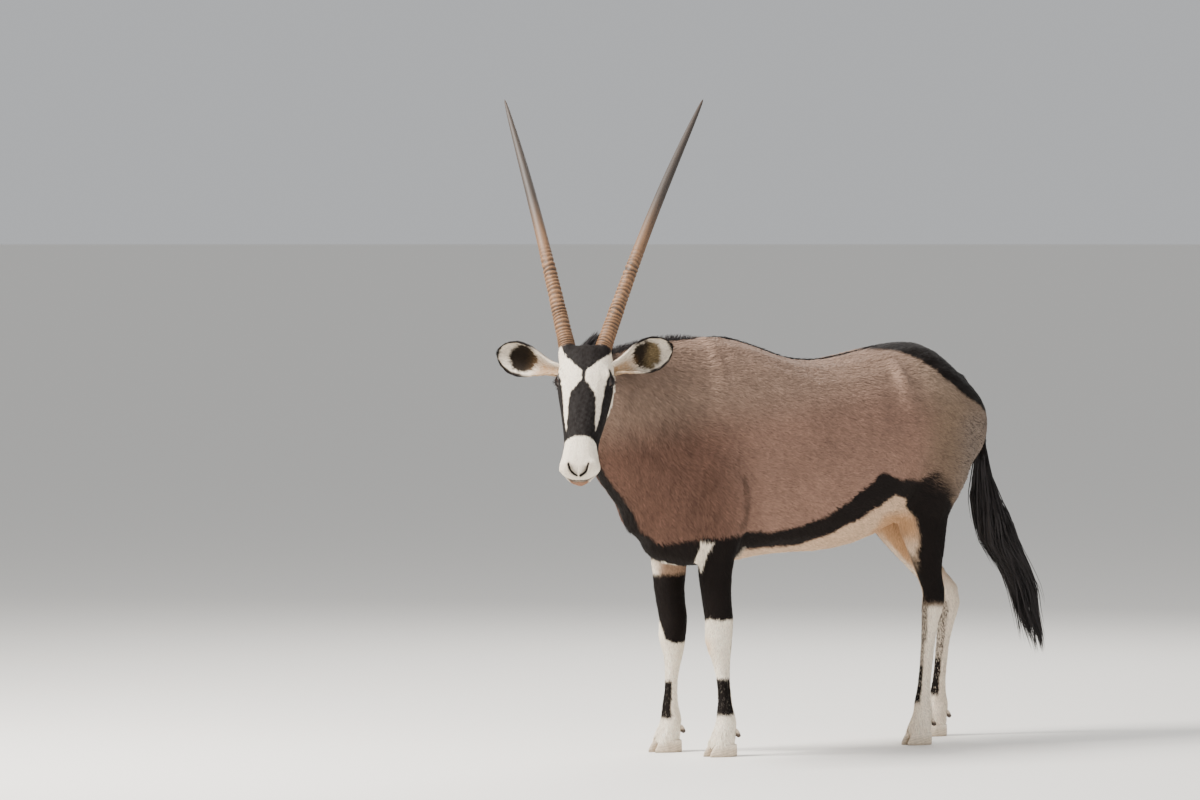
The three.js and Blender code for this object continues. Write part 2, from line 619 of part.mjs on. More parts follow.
const TAIL_LOCK_LENGTH = 350;
function alongStations(stations, z) {
  const n = Math.max(1, stations.findIndex((s) => s.z <= z));
  const [p, q] = [stations[n - 1], stations[n]];
  const f = THREE.MathUtils.clamp((p.z - z) / (p.z - q.z), 0, 1);
  const mix = (name) => p[name] + (q[name] - p[name]) * f;
  return { place: v3(mix("x"), mix("y"), z), r: mix("r") };
}
function tailLock(i) {
  const share = i / (TAIL_LOCKS - 1);
  const from = THREE.MathUtils.lerp(845, 590, share);
  const to = Math.max(from - TAIL_LOCK_LENGTH * between(0.9, 1.12), BRUSH.at(-1).z);
  const angle = i * 2.4;
  const out = v3(Math.cos(angle), Math.sin(angle) * 0.8, 0);
  const reach = between(0.7, 1.08);
  const steps = 4;
  const points = [];
  for (let k = 0; k <= steps; k++) {
    const t = k / steps;
    const z = from + (to - from) * t;
    const centre = t === 0 ? alongStations(DOCK, z) : alongStations(BRUSH, z);
    points.push(centre.place.addScaledVector(out, centre.r * reach * Math.min(t * 3, 1)));
  }
  return lock(points, between(34, 46), 12, out);
}
function tail() {
  const line = dockStations.map((s) => v3(s.x, s.y, s.z));
  let made = tube(line, dockStations.map((s) => s.r), 12, 1, Y);
  for (let i = 0; i < TAIL_LOCKS; i++) made = made.add(tailLock(i));
  return made;
}

// Half-spaces as large boxes, to part the body
const FAR = 3000;
function slab(low, high) {
  const size = high.clone().sub(low);
  const middle = low.clone().add(high).multiplyScalar(0.5);
  return solid(new THREE.BoxGeometry(size.x, size.y, size.z).translate(middle.x, middle.y, middle.z));
}
// All that lies ahead of a plane through `point` facing `normal`
function beyond(point, normal) {
  const box = new THREE.BoxGeometry(FAR, FAR, FAR).translate(0, 0, FAR / 2);
  const turn = new THREE.Quaternion().setFromUnitVectors(Z, normal.clone().normalize());
  return solid(box.applyQuaternion(turn).translate(point.x, point.y, point.z));
}

// The body is made whole, then parted; what meets it is cut back by a grown copy of it
const ELBOW_CUT = 628;
const STIFLE_CUT = 672;
const INNER_CUT = 38; // the legs' parts start this far from the middle plane
const NECK_CUT = { point: v3(520, 0, 950), normal: v3(0.93, 0.04, -0.36).normalize() };
const SIDES = [
  ["left", 1],
  ["right", -1],
];
function legZone(fore, aft, top, side, grown) {
  const near = INNER_CUT - grown;
  const low = v3(aft - grown, side > 0 ? near : -FAR, -FAR);
  const high = v3(fore + grown, side > 0 ? FAR : -near, top + grown);
  return slab(low, high);
}
function frontZone(side, grown) {
  return legZone(FRONT_FOOT[side] + 92, FRONT_FOOT[side] - 74, ELBOW_CUT, side, grown);
}
const hindZone = (side, grown) => legZone(STIFLE[side].x + 75, -900, STIFLE_CUT, side, grown);
const whole = (grow) => {
  let made = trunk(grow).add(neck(grow));
  for (const [, side] of SIDES) made = made.add(frontLeg(side, grow)).add(hindLeg(side, grow));
  return made;
};

// All parts by name, each a closed solid and its surface
const HAIR = { color: 0x8d7263, roughness: 0.85 };
const BLACK_HAIR = { color: 0x1c1613, roughness: 0.8 };
const HORN = { color: 0x6b5a4c, roughness: 0.55 };
const HOOF = { color: 0x57504a, roughness: 0.6 };
const EYE_SURFACE = { color: 0x140c08, roughness: 0.08 };
const nodes = {};
const put = (name, made, surface) => (nodes[name] = { made: largest(made), surface });

const body = whole(0);
const bodyGrown = whole(GAP);
const headGrown = crown(GAP).transform(headFrame.elements);
let rest = body;
for (const [name, side] of SIDES) {
  put("leg_front_" + name, body.intersect(frontZone(side, 0)), HAIR);
  put("leg_hind_" + name, body.intersect(hindZone(side, 0)), HAIR);
  rest = rest.subtract(frontZone(side, GAP)).subtract(hindZone(side, GAP));
}
const shifted = NECK_CUT.point.clone().addScaledVector(NECK_CUT.normal, -GAP);
put("neck", rest.intersect(beyond(NECK_CUT.point, NECK_CUT.normal)).subtract(headGrown), HAIR);
put("torso", rest.subtract(beyond(shifted, NECK_CUT.normal)), HAIR);
put("head", head().transform(headFrame.elements), HAIR);
for (const [name, side] of SIDES) {
  const hornGrown = horn(side, GAP).transform(headFrame.elements);
  put("horn_" + name, horn(side).transform(headFrame.elements).subtract(headGrown).subtract(bodyGrown), HORN);
  put("ear_" + name, ear(side).subtract(headGrown).subtract(bodyGrown).subtract(hornGrown), HAIR);
  put("eye_" + name, ball(eyeCentre(side), EYE_RADIUS, 14, 9).transform(headFrame.elements), EYE_SURFACE);
}
const HIND_SIZE = 0.93; // a hind hoof's size beside a front one's
const feet = [
  ["front_left", FRONT_FOOT[1] + 6, 1, 1],
  ["front_right", FRONT_FOOT[-1] + 6, -1, 1],
  ["hind_left", HIND_FOOT[1] + 12, 1, HIND_SIZE],
  ["hind_right", HIND_FOOT[-1] + 12, -1, HIND_SIZE],
];
for (const [name, x, side, size] of feet)
  for (const [which, inner] of [["outer", side], ["inner", -side]]) {
    put("hoof_" + name + "_" + which, claw(x, side, inner, size), HOOF);
    put("dewclaw_" + name + "_" + which, dewClaw(x - 8, side, inner).subtract(bodyGrown), HOOF);
  }
put("mane", mane().subtract(bodyGrown).subtract(headGrown), BLACK_HAIR);
put("tail", tail().subtract(bodyGrown), BLACK_HAIR);

// The origin lies on the floor under the middle of the whole model
const bounds = new THREE.Box3();
const meshes = Object.entries(nodes).map(([name, { made, surface }]) => {
  const geometry = geometryOf(made);
  geometry.computeBoundingBox();
  bounds.union(geometry.boundingBox);
  const mesh = new THREE.Mesh(geometry, new THREE.MeshStandardMaterial({ ...surface, metalness: 0 }));
  mesh.name = name;
  return mesh;
});
const middle = bounds.getCenter(v3(0, 0, 0));
const root = new THREE.Group();
root.name = "gemsbok";
for (const mesh of meshes) {
  mesh.geometry.translate(-middle.x, -middle.y, -bounds.min.z);
  root.add(mesh);
}
export default root;
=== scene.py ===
"""A life-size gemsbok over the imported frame: one skin, a coat of short tufts that follow its lie,
ringed horns, eyes with lids, hooves, a bristly crest and a brush of tail hair.

Places and sizes named _MM are in millimetres in the animal's own frame: +X forward, +Y to its left.
Everything else is in metres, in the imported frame.
"""

import math

import bmesh
import bpy
import numpy as np
from bpy.props import FloatProperty, FloatVectorProperty, IntProperty, PointerProperty
from mathutils import Matrix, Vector
from mathutils.bvhtree import BVHTree


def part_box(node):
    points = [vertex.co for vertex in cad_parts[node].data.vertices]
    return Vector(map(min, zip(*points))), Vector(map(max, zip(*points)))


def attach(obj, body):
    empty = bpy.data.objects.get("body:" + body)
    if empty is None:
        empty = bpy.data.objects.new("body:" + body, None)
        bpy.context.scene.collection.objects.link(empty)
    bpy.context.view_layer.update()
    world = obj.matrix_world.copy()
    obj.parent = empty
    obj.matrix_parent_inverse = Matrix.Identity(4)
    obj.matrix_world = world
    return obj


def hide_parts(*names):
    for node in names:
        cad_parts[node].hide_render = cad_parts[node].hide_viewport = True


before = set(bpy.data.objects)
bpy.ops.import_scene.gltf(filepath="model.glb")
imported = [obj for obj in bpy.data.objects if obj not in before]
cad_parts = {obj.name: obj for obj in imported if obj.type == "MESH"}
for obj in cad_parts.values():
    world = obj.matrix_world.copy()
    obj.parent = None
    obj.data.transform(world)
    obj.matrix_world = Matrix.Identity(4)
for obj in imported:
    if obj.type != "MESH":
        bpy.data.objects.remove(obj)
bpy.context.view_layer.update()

bl_info = {
    "name": "Gemsbok",
    "version": (1, 0, 0),
    "blender": (4, 5, 0),
    "location": "3D View > Sidebar > Gemsbok",
    "description": "Skin, coat, horns, eyes and hooves for the packed gemsbok",
    "category": "Object",
}

MM = 0.001


# Colours and small number tools


def linear(text):
    """An sRGB hex colour as linear RGB."""
    parts = [int(text[i : i + 2], 16) / 255 for i in (1, 3, 5)]
    return tuple(c / 12.92 if c <= 0.04045 else ((c + 0.055) / 1.055) ** 2.4 for c in parts)


def tint(text):
    """An sRGB hex colour as an array of linear RGB."""
    return np.array(linear(text))


def round_turn(count):
    """Angles evenly round a circle."""
    return np.linspace(0, 2 * math.pi, count, endpoint=False)


def circle(angle, third=0.0):
    """Places on a unit circle by angle, with the angle times `third` as their third coordinate."""
    return np.stack([np.cos(angle), np.sin(angle), angle * third], 1)


def bell(value, width):
    """1 at value 0, falling away over the width on both sides."""
    return np.exp(-((value / width) ** 2))


def unit(vectors):
    """Vectors scaled to length one."""
    size = np.linalg.norm(vectors, axis=-1, keepdims=True)
    return vectors / np.maximum(size, 1e-12)


def rise(value, low, high):
    """0 below low, 1 above high, smooth between."""
    share = np.clip((value - low) / (high - low), 0, 1)
    return share * share * (3 - 2 * share)


def between(value, low, high, soft):
    """1 between low and high, falling to 0 over a soft edge on each side."""
    return rise(value, low - soft, low + soft) * (1 - rise(value, high - soft, high + soft))


def along_keys(value, keys, column=1):
    """Linear interpolation through (value, result, ...) rows, rising in their first column."""
    rows = np.array(keys, float)
    return np.interp(value, rows[:, 0], rows[:, column])


def smooth_keys(keys, count):
    """Rows resampled on a smooth curve to `count` rows."""
    rows = np.array(keys, float)
    place = np.linspace(0, len(rows) - 1, count)
    low = np.minimum(place.astype(int), len(rows) - 2)
    part = (place - low)[:, None]
    at = lambda n: rows[np.clip(n, 0, len(rows) - 1)]
    p0, p1, p2, p3 = at(low - 1), at(low), at(low + 1), at(low + 2)
    square = (2 * p0 - 5 * p1 + 4 * p2 - p3) * part**2
    cube = (3 * p1 - p0 - 3 * p2 + p3) * part**3
    return 0.5 * (2 * p1 + (p2 - p0) * part + square + cube)


def wobble(points, size, seed):
    """Smooth noise from -1 to 1 over points in millimetres, with features about `size` across."""
    rng = np.random.default_rng(seed)
    total = np.zeros(len(points))
    for _ in range(7):
        way = rng.normal(size=3)
        way *= 2 * math.pi / (size * rng.uniform(0.7, 1.6) * np.linalg.norm(way))
        total += np.sin(points @ way + rng.uniform(0, 2 * math.pi))
    return total / 4.2


def mix(first, second, share):
    """Colours blended row by row."""
    return first + (np.asarray(second) - first) * np.asarray(share)[..., None]


# The animal's frame, and the head's


HEAD_YAW = math.radians(46)
HEAD_PITCH = math.radians(55)
POLL_MM = np.array([916.0, 116.0, 1163.0])
ALONG = np.array(
    [
        math.cos(HEAD_YAW) * math.cos(HEAD_PITCH),
        math.sin(HEAD_YAW) * math.cos(HEAD_PITCH),
        -math.sin(HEAD_PITCH),
    ]
)
LEFT = np.array([-math.sin(HEAD_YAW), math.cos(HEAD_YAW), 0.0])
OUT = np.cross(ALONG, LEFT)
HEAD_AXES = np.array([ALONG, LEFT, OUT])
EYE_MM = np.array([80.0, 62.0, -40.0])
EYE_RADIUS_MM = 18.5
CROWN_SHIFT_MM = -6.0  # horns and ears sit a little to the right of the face's middle line


def from_head(points):
    """Head-frame places in millimetres (down the face, to its left, out of it) in the animal's frame."""
    return POLL_MM + np.asarray(points, float) @ HEAD_AXES


def to_head(points):
    """The animal's frame to the head's."""
    return (points - POLL_MM) @ HEAD_AXES.T


def node_middle(node):
    """The middle of a CAD node's box."""
    low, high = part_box(node)
    return (np.array(low) + np.array(high)) / 2


SHIFT = node_middle("eye_left") - from_head(EYE_MM) * MM


def to_world(points):
    """The animal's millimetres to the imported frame."""
    return np.asarray(points, float) * MM + SHIFT


def to_animal(points):
    """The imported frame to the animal's millimetres."""
    return (points - SHIFT) / MM


# What a user would change


def length_property(name, description, default):
    """A length in metres that a user may change."""
    return FloatProperty(name=name, description=description, default=default, unit="LENGTH")


class GemsbokSizes(bpy.types.PropertyGroup):
    coat_length: length_property("Coat length", "Length of a tuft on the trunk", 0.017)
    neck_length: length_property("Neck hair length", "Length of a tuft on the neck", 0.024)
    face_length: length_property("Face hair length", "Length of a tuft on the face", 0.0065)
    leg_length: length_property("Leg hair length", "Length of a tuft on the legs", 0.0105)
    skin_grain: length_property("Skin grain", "Size of the skin's faces on the trunk", 0.0085)
    horn_rings: IntProperty(name="Horn rings", description="Rings on the lower horn", default=30, min=0)
    tail_hairs: IntProperty(name="Tail locks", description="Locks in the tail's brush", default=2400, min=10)
    crest_hairs: IntProperty(
        name="Crest bristles", description="Bristles along the neck", default=3000, min=10
    )


def colour_property(name, description, text):
    """A colour that a user may change, from its sRGB hex."""
    return FloatVectorProperty(
        name=name, description=description, default=linear(text), subtype="COLOR", min=0, max=1
    )


class GemsbokColours(bpy.types.PropertyGroup):
    flank: colour_property("Flank", "Pinkish grey-brown of the trunk", "#87695a")
    # the neck's colour is browner hair, darkened also as painted shade on the neck and shoulder
    neck: colour_property("Neck", "Browner hair of the neck and shoulder", "#62473b")
    rump: colour_property("Rump", "Greyer hair of the rump", "#74604f")
    black: colour_property("Black", "Brown-black of the markings", "#120b08")
    white: colour_property("White", "White of the face and legs", "#f4e6d2")
    # the belly's tan is partly painted shade under the body
    tan: colour_property("Tan", "Warm tan of the belly and inner thigh", "#b58c66")
    horn_base: colour_property("Horn base", "Tan of the ringed horn", "#7a583a")
    horn_tip: colour_property("Horn tip", "Grey-brown of the smooth horn", "#342c26")
    hoof: colour_property("Hoof", "Grey of the hooves", "#c0af99")


def sizes():
    """The sizes that a user may change."""
    return bpy.context.scene.gemsbok_sizes


def colour(name):
    """One of the colours that a user may change, as an array."""
    return np.array(getattr(bpy.context.scene.gemsbok_colours, name), float)


# Mesh tools


def add_object(name, mesh, look, replaced=()):
    """Puts a mesh in the scene, riding on the body, material and replaced nodes."""
    piece = bpy.data.objects.new(name, mesh)
    bpy.context.scene.collection.objects.link(piece)
    mesh.materials.append(look)
    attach(piece, "root")
    if replaced:
        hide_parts(*replaced)
    return piece


def mesh_from(name, points, faces, colours=None, uvs=None, normals=None):
    """A smooth mesh from arrays: points, faces of one side count, and colours and normals by point."""
    mesh = bpy.data.meshes.new(name)
    faces = np.asarray(faces, np.int32)
    mesh.vertices.add(len(points))
    mesh.vertices.foreach_set("co", np.asarray(points, np.float32).ravel())
    mesh.loops.add(faces.size)
    mesh.loops.foreach_set("vertex_index", faces.ravel())
    mesh.polygons.add(len(faces))
    mesh.polygons.foreach_set("loop_start", np.arange(0, faces.size, faces.shape[1], dtype=np.int32))
    mesh.update(calc_edges=True)
    mesh.shade_smooth()
    if colours is not None:
        paint(mesh, colours)
    if uvs is not None:
        layer = mesh.uv_layers.new(name="OFBake")
        layer.data.foreach_set("uv", np.asarray(uvs, np.float32)[faces.ravel()].ravel())
    if normals is not None:
        mesh.normals_split_custom_set_from_vertices(np.asarray(normals, np.float32))
    return mesh


def paint(mesh, colours):
    """Linear colours by point, in the attribute that the materials read."""
    layer = mesh.color_attributes.new("Coat", "FLOAT_COLOR", "POINT")
    full = np.ones((len(mesh.vertices), 4), np.float32)
    full[:, :3] = np.clip(colours, 0, 1)
    layer.data.foreach_set("color", full.ravel())


def read_rows(items, name, width, kind=np.float32):
    """A property of each item, as the rows of an array."""
    flat = np.empty(len(items) * width, kind)
    items.foreach_get(name, flat)
    return flat.reshape(-1, width)


def read_points(mesh):
    """A mesh's points as an array."""
    return read_rows(mesh.vertices, "co", 3).astype(float)


def read_edges(mesh):
    """A mesh's edges as pairs of points."""
    return read_rows(mesh.edges, "vertices", 2, np.int32)


def read_normals(mesh):
    """A mesh's normals by point."""
    return read_rows(mesh.vertex_normals, "vector", 3).astype(float)


def relax(values, edges, amount, rounds, keep=True):
    """Values by point moved towards their neighbours' mean; with keep, back out again for volume."""
    values = values.copy()
    ends = np.concatenate([edges[:, 0], edges[:, 1]])
    others = np.concatenate([edges[:, 1], edges[:, 0]])
    count = np.maximum(np.bincount(ends, minlength=len(values)), 1)[:, None]
    amount = np.broadcast_to(np.asarray(amount, float).reshape(-1, 1), (len(values), 1))
    for _ in range(rounds):
        for step in (0.55, -0.56) if keep else (0.55,):
            sums = [np.bincount(ends, column[others], minlength=len(values)) for column in values.T]
            total = np.stack(sums, 1)
            values += amount * step * (total / count - values)
    return values


def grid_faces(rows, columns):
    """Quads over rows of points, closed round each row."""
    r, k = np.meshgrid(np.arange(rows - 1), np.arange(columns), indexing="ij")
    a = (r * columns + k).ravel()
    b = (r * columns + (k + 1) % columns).ravel()
    return np.stack([a, b, b + columns, a + columns], 1)


def frames(points, up):
    """Directions along, across and up at each point of a line."""
    ahead = unit(np.gradient(points, axis=0))
    across = unit(np.cross(ahead, up))
    return ahead, across, np.cross(across, ahead)


# Materials


def add_node(tree, kind, links=(), **settings):
    """Adds a node with its settings and its links, each (input, node, output)."""
    node = tree.nodes.new(kind)
    for key, value in settings.items():
        if hasattr(node, key):
            setattr(node, key, value)
        else:
            node.inputs[key.replace("_", " ")].default_value = value
    for socket, source, output in links:
        tree.links.new(source.outputs[output], node.inputs[socket])
    return node


def surface(name, roughness, bump_size, bump_height, stretch, variation, shader):
    """A material that takes its colour from the Coat attribute, with fine noise in colour and height.
    bump_size is the size of one feature in metres."""
    made = bpy.data.materials.new(name)
    made.use_nodes = True
    tree = made.node_tree
    tree.nodes.clear()
    place = add_node(tree, "ShaderNodeTexCoord")
    scaled = add_node(tree, "ShaderNodeMapping", [("Vector", place, "Object")])
    scaled.inputs["Scale"].default_value = stretch
    noise = {"Scale": 1 / bump_size, "Detail": 4.0}
    grain = add_node(tree, "ShaderNodeTexNoise", [("Vector", scaled, "Vector")], **noise)
    coat = add_node(tree, "ShaderNodeVertexColor", layer_name="Coat")
    spread = add_node(tree, "ShaderNodeMapRange", [("Value", grain, "Fac")])
    limits = {"From Min": 0.3, "From Max": 0.7, "To Min": 1 - variation, "To Max": 1 + variation}
    for key, value in limits.items():
        spread.inputs[key].default_value = value
    shades = [(0, coat, "Color"), ("Scale", spread, "Result")]
    shade = add_node(tree, "ShaderNodeVectorMath", shades, operation="SCALE")
    height = add_node(tree, "ShaderNodeBump", [("Height", grain, "Fac")])
    height.inputs["Strength"].default_value = 0.6
    height.inputs["Distance"].default_value = bump_height
    looks = [("Base Color", shade, "Vector"), ("Normal", height, "Normal")]
    bsdf = add_node(tree, "ShaderNodeBsdfPrincipled", looks)
    bsdf.inputs["Roughness"].default_value = roughness
    for key, value in shader.items():
        bsdf.inputs[key].default_value = value
    add_node(tree, "ShaderNodeOutputMaterial", [("Surface", bsdf, "BSDF")])
    return made


MATERIALS = {
    # name: roughness, size and height of the grain in metres, its stretch, the colour's variation,
    # and the shader's other settings
    "short_hair": (0.74, 0.0012, 0.0002, (1, 1, 1), 0.1, {"Specular IOR Level": 0.16}),
    "hairy_skin": (0.8, 0.0015, 0.0008, (1, 1, 0.5), 0.22, {"Specular IOR Level": 0.2}),
    "long_hair": (0.42, 0.0009, 0.0002, (1, 1, 0.08), 0.2, {}),
    "horn_keratin": (0.6, 0.0016, 0.0006, (1, 1, 0.12), 0.28, {}),
    "hoof_keratin": (0.6, 0.0022, 0.0004, (0.35, 0.35, 1), 0.2, {}),
    "bare_skin": (0.38, 0.0011, 0.0003, (1, 1, 1), 0.15, {}),
    "wet_eye": (
        *(0.3, 0.004, 0.00001, (1, 1, 1), 0.05),
        {"Specular IOR Level": 0.3, "Coat Weight": 0.35, "Coat Roughness": 0.03},
    ),
}


def material(name):
    """The named material, made at its first use."""
    return bpy.data.materials.get(name) or surface(name, *MATERIALS[name])


# Regions: where each CAD node's flesh lies


BODY, NECK, HEAD, FORE, HIND, EAR, DOCK = range(7)
FLESH = {
    "torso": BODY,
    "neck": NECK,
    "head": HEAD,
    "leg_front_left": FORE,
    "leg_front_right": FORE,
    "leg_hind_left": HIND,
    "leg_hind_right": HIND,
}
SIDES = {"left": 1, "right": -1}


def nearest_regions(points):
    """The region of the CAD node nearest to each point, among the nodes whose box holds it."""
    best = np.full(len(points), 1e9)
    region = np.zeros(len(points), int)
    margin = 0.03
    for node, code in FLESH.items():
        low, high = (np.array(v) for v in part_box(node))
        inside = np.nonzero(((points > low - margin) & (points < high + margin)).all(1))[0]
        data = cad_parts[node].data
        tree = BVHTree.FromPolygons([v.co for v in data.vertices], [p.vertices for p in data.polygons])
        for i in inside:
            found = tree.find_nearest(points[i], margin)
            if found[3] is not None and found[3] < best[i]:
                best[i] = found[3]
                region[i] = code
    return region


# Ears


EAR_LENGTH_MM = 194
EAR_ROOT_MM = np.array([28.0, 64.0, -66.0])
EAR_LIFT = {1: 0.38, -1: 0.27}
EAR_KEYS = [
    # share of the length, half width, depth of the cup, wall (mm)
    (-0.1, 15, 15, 13),
    (0.06, 18, 20, 15),
    (0.2, 22, 25, 9),
    (0.36, 33, 32, 5),
    (0.54, 46, 36, 3.6),
    (0.72, 48, 31, 3.2),
    (0.87, 37, 21, 2.8),
    (0.96, 21, 11, 2.4),
    (1.0, 8, 5, 1.8),
]


def ear_axes(side):
    """An ear's root and its directions along, out of the cup and across, in the animal's frame."""
    forward = np.array([math.cos(HEAD_YAW), math.sin(HEAD_YAW), 0])
    along = LEFT * side * 0.95 + np.array([0, 0, EAR_LIFT[side]]) - forward * 0.16
    along = unit(along)
    face = forward + np.array([0, 0, -0.06]) + LEFT * side * 0.16
    face = unit(face - along * (face @ along))
    root = from_head(EAR_ROOT_MM * [1, side, 1] + [0, CROWN_SHIFT_MM, 0])
    return root, along, face, np.cross(face, along)


def ear_mesh(side):
    """One ear as a closed crescent shell: points and quads, in metres."""
    root, along, face, across = ear_axes(side)
    rows = smooth_keys(EAR_KEYS, 46)
    steps = 26
    share = np.linspace(0, 1, steps)
    rings = []
    for s, half, deep, wall in rows:
        ring = []
        for inner in (False, True):
            angle = math.pi * ((share[::-1] if inner else share) - 0.5) * 1.16
            thick = wall if inner else 0
            wide = max(half - thick * 0.8, 1.0)
            cup = max(deep - thick * 1.2, 0.5) if inner else deep
            edge = 1 + 0.02 * np.sin(angle * 9 + s * 40)
            sunk = (1.0 if inner else 0) - np.cos(angle) * cup + deep * 0.35
            place = root + along * s * EAR_LENGTH_MM
            ring.append(place + across * (np.sin(angle) * wide * edge)[:, None] + face * sunk[:, None])
        rings.append(np.concatenate(ring))
    points = np.concatenate(rings)
    faces = grid_faces(len(rows), steps * 2)
    cap = np.arange(steps * 2)
    pairs = np.stack([cap[: steps - 1], cap[1:steps], cap[::-1][1:steps], cap[::-1][: steps - 1]], 1)
    end = pairs + (len(rows) - 1) * steps * 2
    faces = np.concatenate([faces, pairs[:, ::-1], end])
    return to_world(points), faces


# Skin


COAT_DEPTH = {BODY: 0.0035, NECK: 0.004, HEAD: 0.0012, FORE: 0.0018, HIND: 0.0018, EAR: 0.0, DOCK: 0.003}
DOCK_MM = [
    # x, y, z and radius down the tail
    (-560, 0, 1004, 24),
    (-616, 1, 985, 23),
    (-640, 3, 940, 20),
    (-650, 5, 870, 17),
    (-651, 8, 790, 14),
    (-662, 11, 712, 12),
    (-684, 16, 642, 11),
]
# place down the muzzle and distance from its middle
NOSTRIL_MM = [(311, 28), (318, 26.5), (328, 23.5), (335, 19), (341, 11.5), (344.5, 4.5)]
# distance from the middle and height of the mouth
MOUTH_LEVEL = [(0, -67), (20, -68.5), (34, -72), (46, -76), (56, -80)]
EYE_WAY = {side: unit(np.array([0.34, side * 0.84, 0.42])) for side in (1, -1)}
LID_LINE = np.array([0.93, 0, -0.36])
OPENING_HALF_MM = (18.5, 10.5)


def grown_part(name, grow):
    """A CAD node's welded surface, moved out a little so that neighbours overlap."""
    part = bmesh.new()
    part.from_mesh(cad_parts[name].data)
    bmesh.ops.remove_doubles(part, verts=part.verts, dist=1e-5)
    part.normal_update()
    for vert in part.verts:
        vert.co += vert.normal * grow
    mesh = bpy.data.meshes.new("part")
    part.to_mesh(mesh)
    part.free()
    return mesh


def joined(meshes):
    """One mesh from several, which are used up."""
    whole = bmesh.new()
    for mesh in meshes:
        whole.from_mesh(mesh)
        bpy.data.meshes.remove(mesh)
    mesh = bpy.data.meshes.new("joined")
    whole.to_mesh(mesh)
    whole.free()
    return mesh


def remeshed(mesh, grain):
    """A mesh's voxel remesh."""
    spare = bpy.data.objects.new("spare", mesh)
    bpy.context.scene.collection.objects.link(spare)
    modifier = spare.modifiers.new("Remesh", "REMESH")
    modifier.mode = "VOXEL"
    modifier.voxel_size = grain
    depsgraph = bpy.context.evaluated_depsgraph_get()
    made = bpy.data.meshes.new_from_object(spare.evaluated_get(depsgraph))
    bpy.data.objects.remove(spare)
    bpy.data.meshes.remove(mesh)
    return made


def edited(mesh, change):
    """Makes a change to a mesh through bmesh."""
    made = bmesh.new()
    made.from_mesh(mesh)
    change(made)
    made.to_mesh(mesh)
    made.free()


def refine(mesh, chosen):
    """Splits each edge whose two points are chosen."""

    def split(made):
        edges = [e for e in made.edges if all(chosen[v.index] for v in e.verts)]
        bmesh.ops.subdivide_edges(made, edges=edges, cuts=1, use_grid_fill=True)

    edited(mesh, split)


def set_points(mesh, points):
    """Moves a mesh's points."""
    mesh.vertices.foreach_set("co", np.asarray(points, np.float32).ravel())
    mesh.update()


def path_distance(points, path):
    """Distance from points to a line of places, and how far along it the nearest is, from 0 to 1."""
    path = np.asarray(path, float)
    best = np.full(len(points), 1e9)
    share = np.zeros(len(points))
    for i in range(len(path) - 1):
        step = path[i + 1] - path[i]
        t = np.clip(((points - path[i]) @ step) / (step @ step), 0, 1)
        far = np.linalg.norm(points - path[i] - t[:, None] * step, axis=1)
        nearer = far < best
        best = np.where(nearer, far, best)
        share = np.where(nearer, (i + t) / (len(path) - 1), share)
    return best, share


def eye_axes(side):
    """The way that an eye looks, the line of its opening and the direction across that line."""
    way = EYE_WAY[side]
    line = unit(LID_LINE - way * (LID_LINE @ way))
    return way, line, np.cross(way, line)


def eye_distance(head):
    """Distance from the nearer eye's middle."""
    left, right = (np.linalg.norm(head - EYE_MM * [1, side, 1], axis=1) for side in (1, -1))
    return np.minimum(left, right)


def almond(head_points, side):
    """How far outside the eye's opening each point lies: under 1 is inside it."""
    way, line, high = eye_axes(side)
    offset = head_points - EYE_MM * [1, side, 1]
    p, q = offset @ line, offset @ high
    half_long, half_high = OPENING_HALF_MM
    shape = np.maximum(1 - (p / half_long) ** 2, 0)
    inside = np.abs(q) / np.maximum(half_high * shape, 0.01)
    beyond = np.hypot(p / half_long, q / half_high)
    ahead = offset @ way > 0
    value = np.where(np.abs(p) < half_long, np.minimum(inside, beyond * 3), beyond * 3)
    return np.where(ahead, value, 9), offset


def mouth_distance(head):
    """Distance from the line of the mouth over the muzzle, and how far the mouth has opened there."""
    away = np.abs(head[:, 2] - along_keys(np.abs(head[:, 1]), MOUTH_LEVEL))
    return away, rise(head[:, 0], 302, 345)


def nostril_place(head):
    """Places on the muzzle's front, down it and out from its middle, and their distance from the slit."""
    a, l, d = head.T
    place = np.stack([0.815 * a - 0.57 * d, np.abs(l)], 1)
    away, share = path_distance(place, NOSTRIL_MM)
    return place[:, 0], away + 40 * ((a < 335) | (d < -78)), share


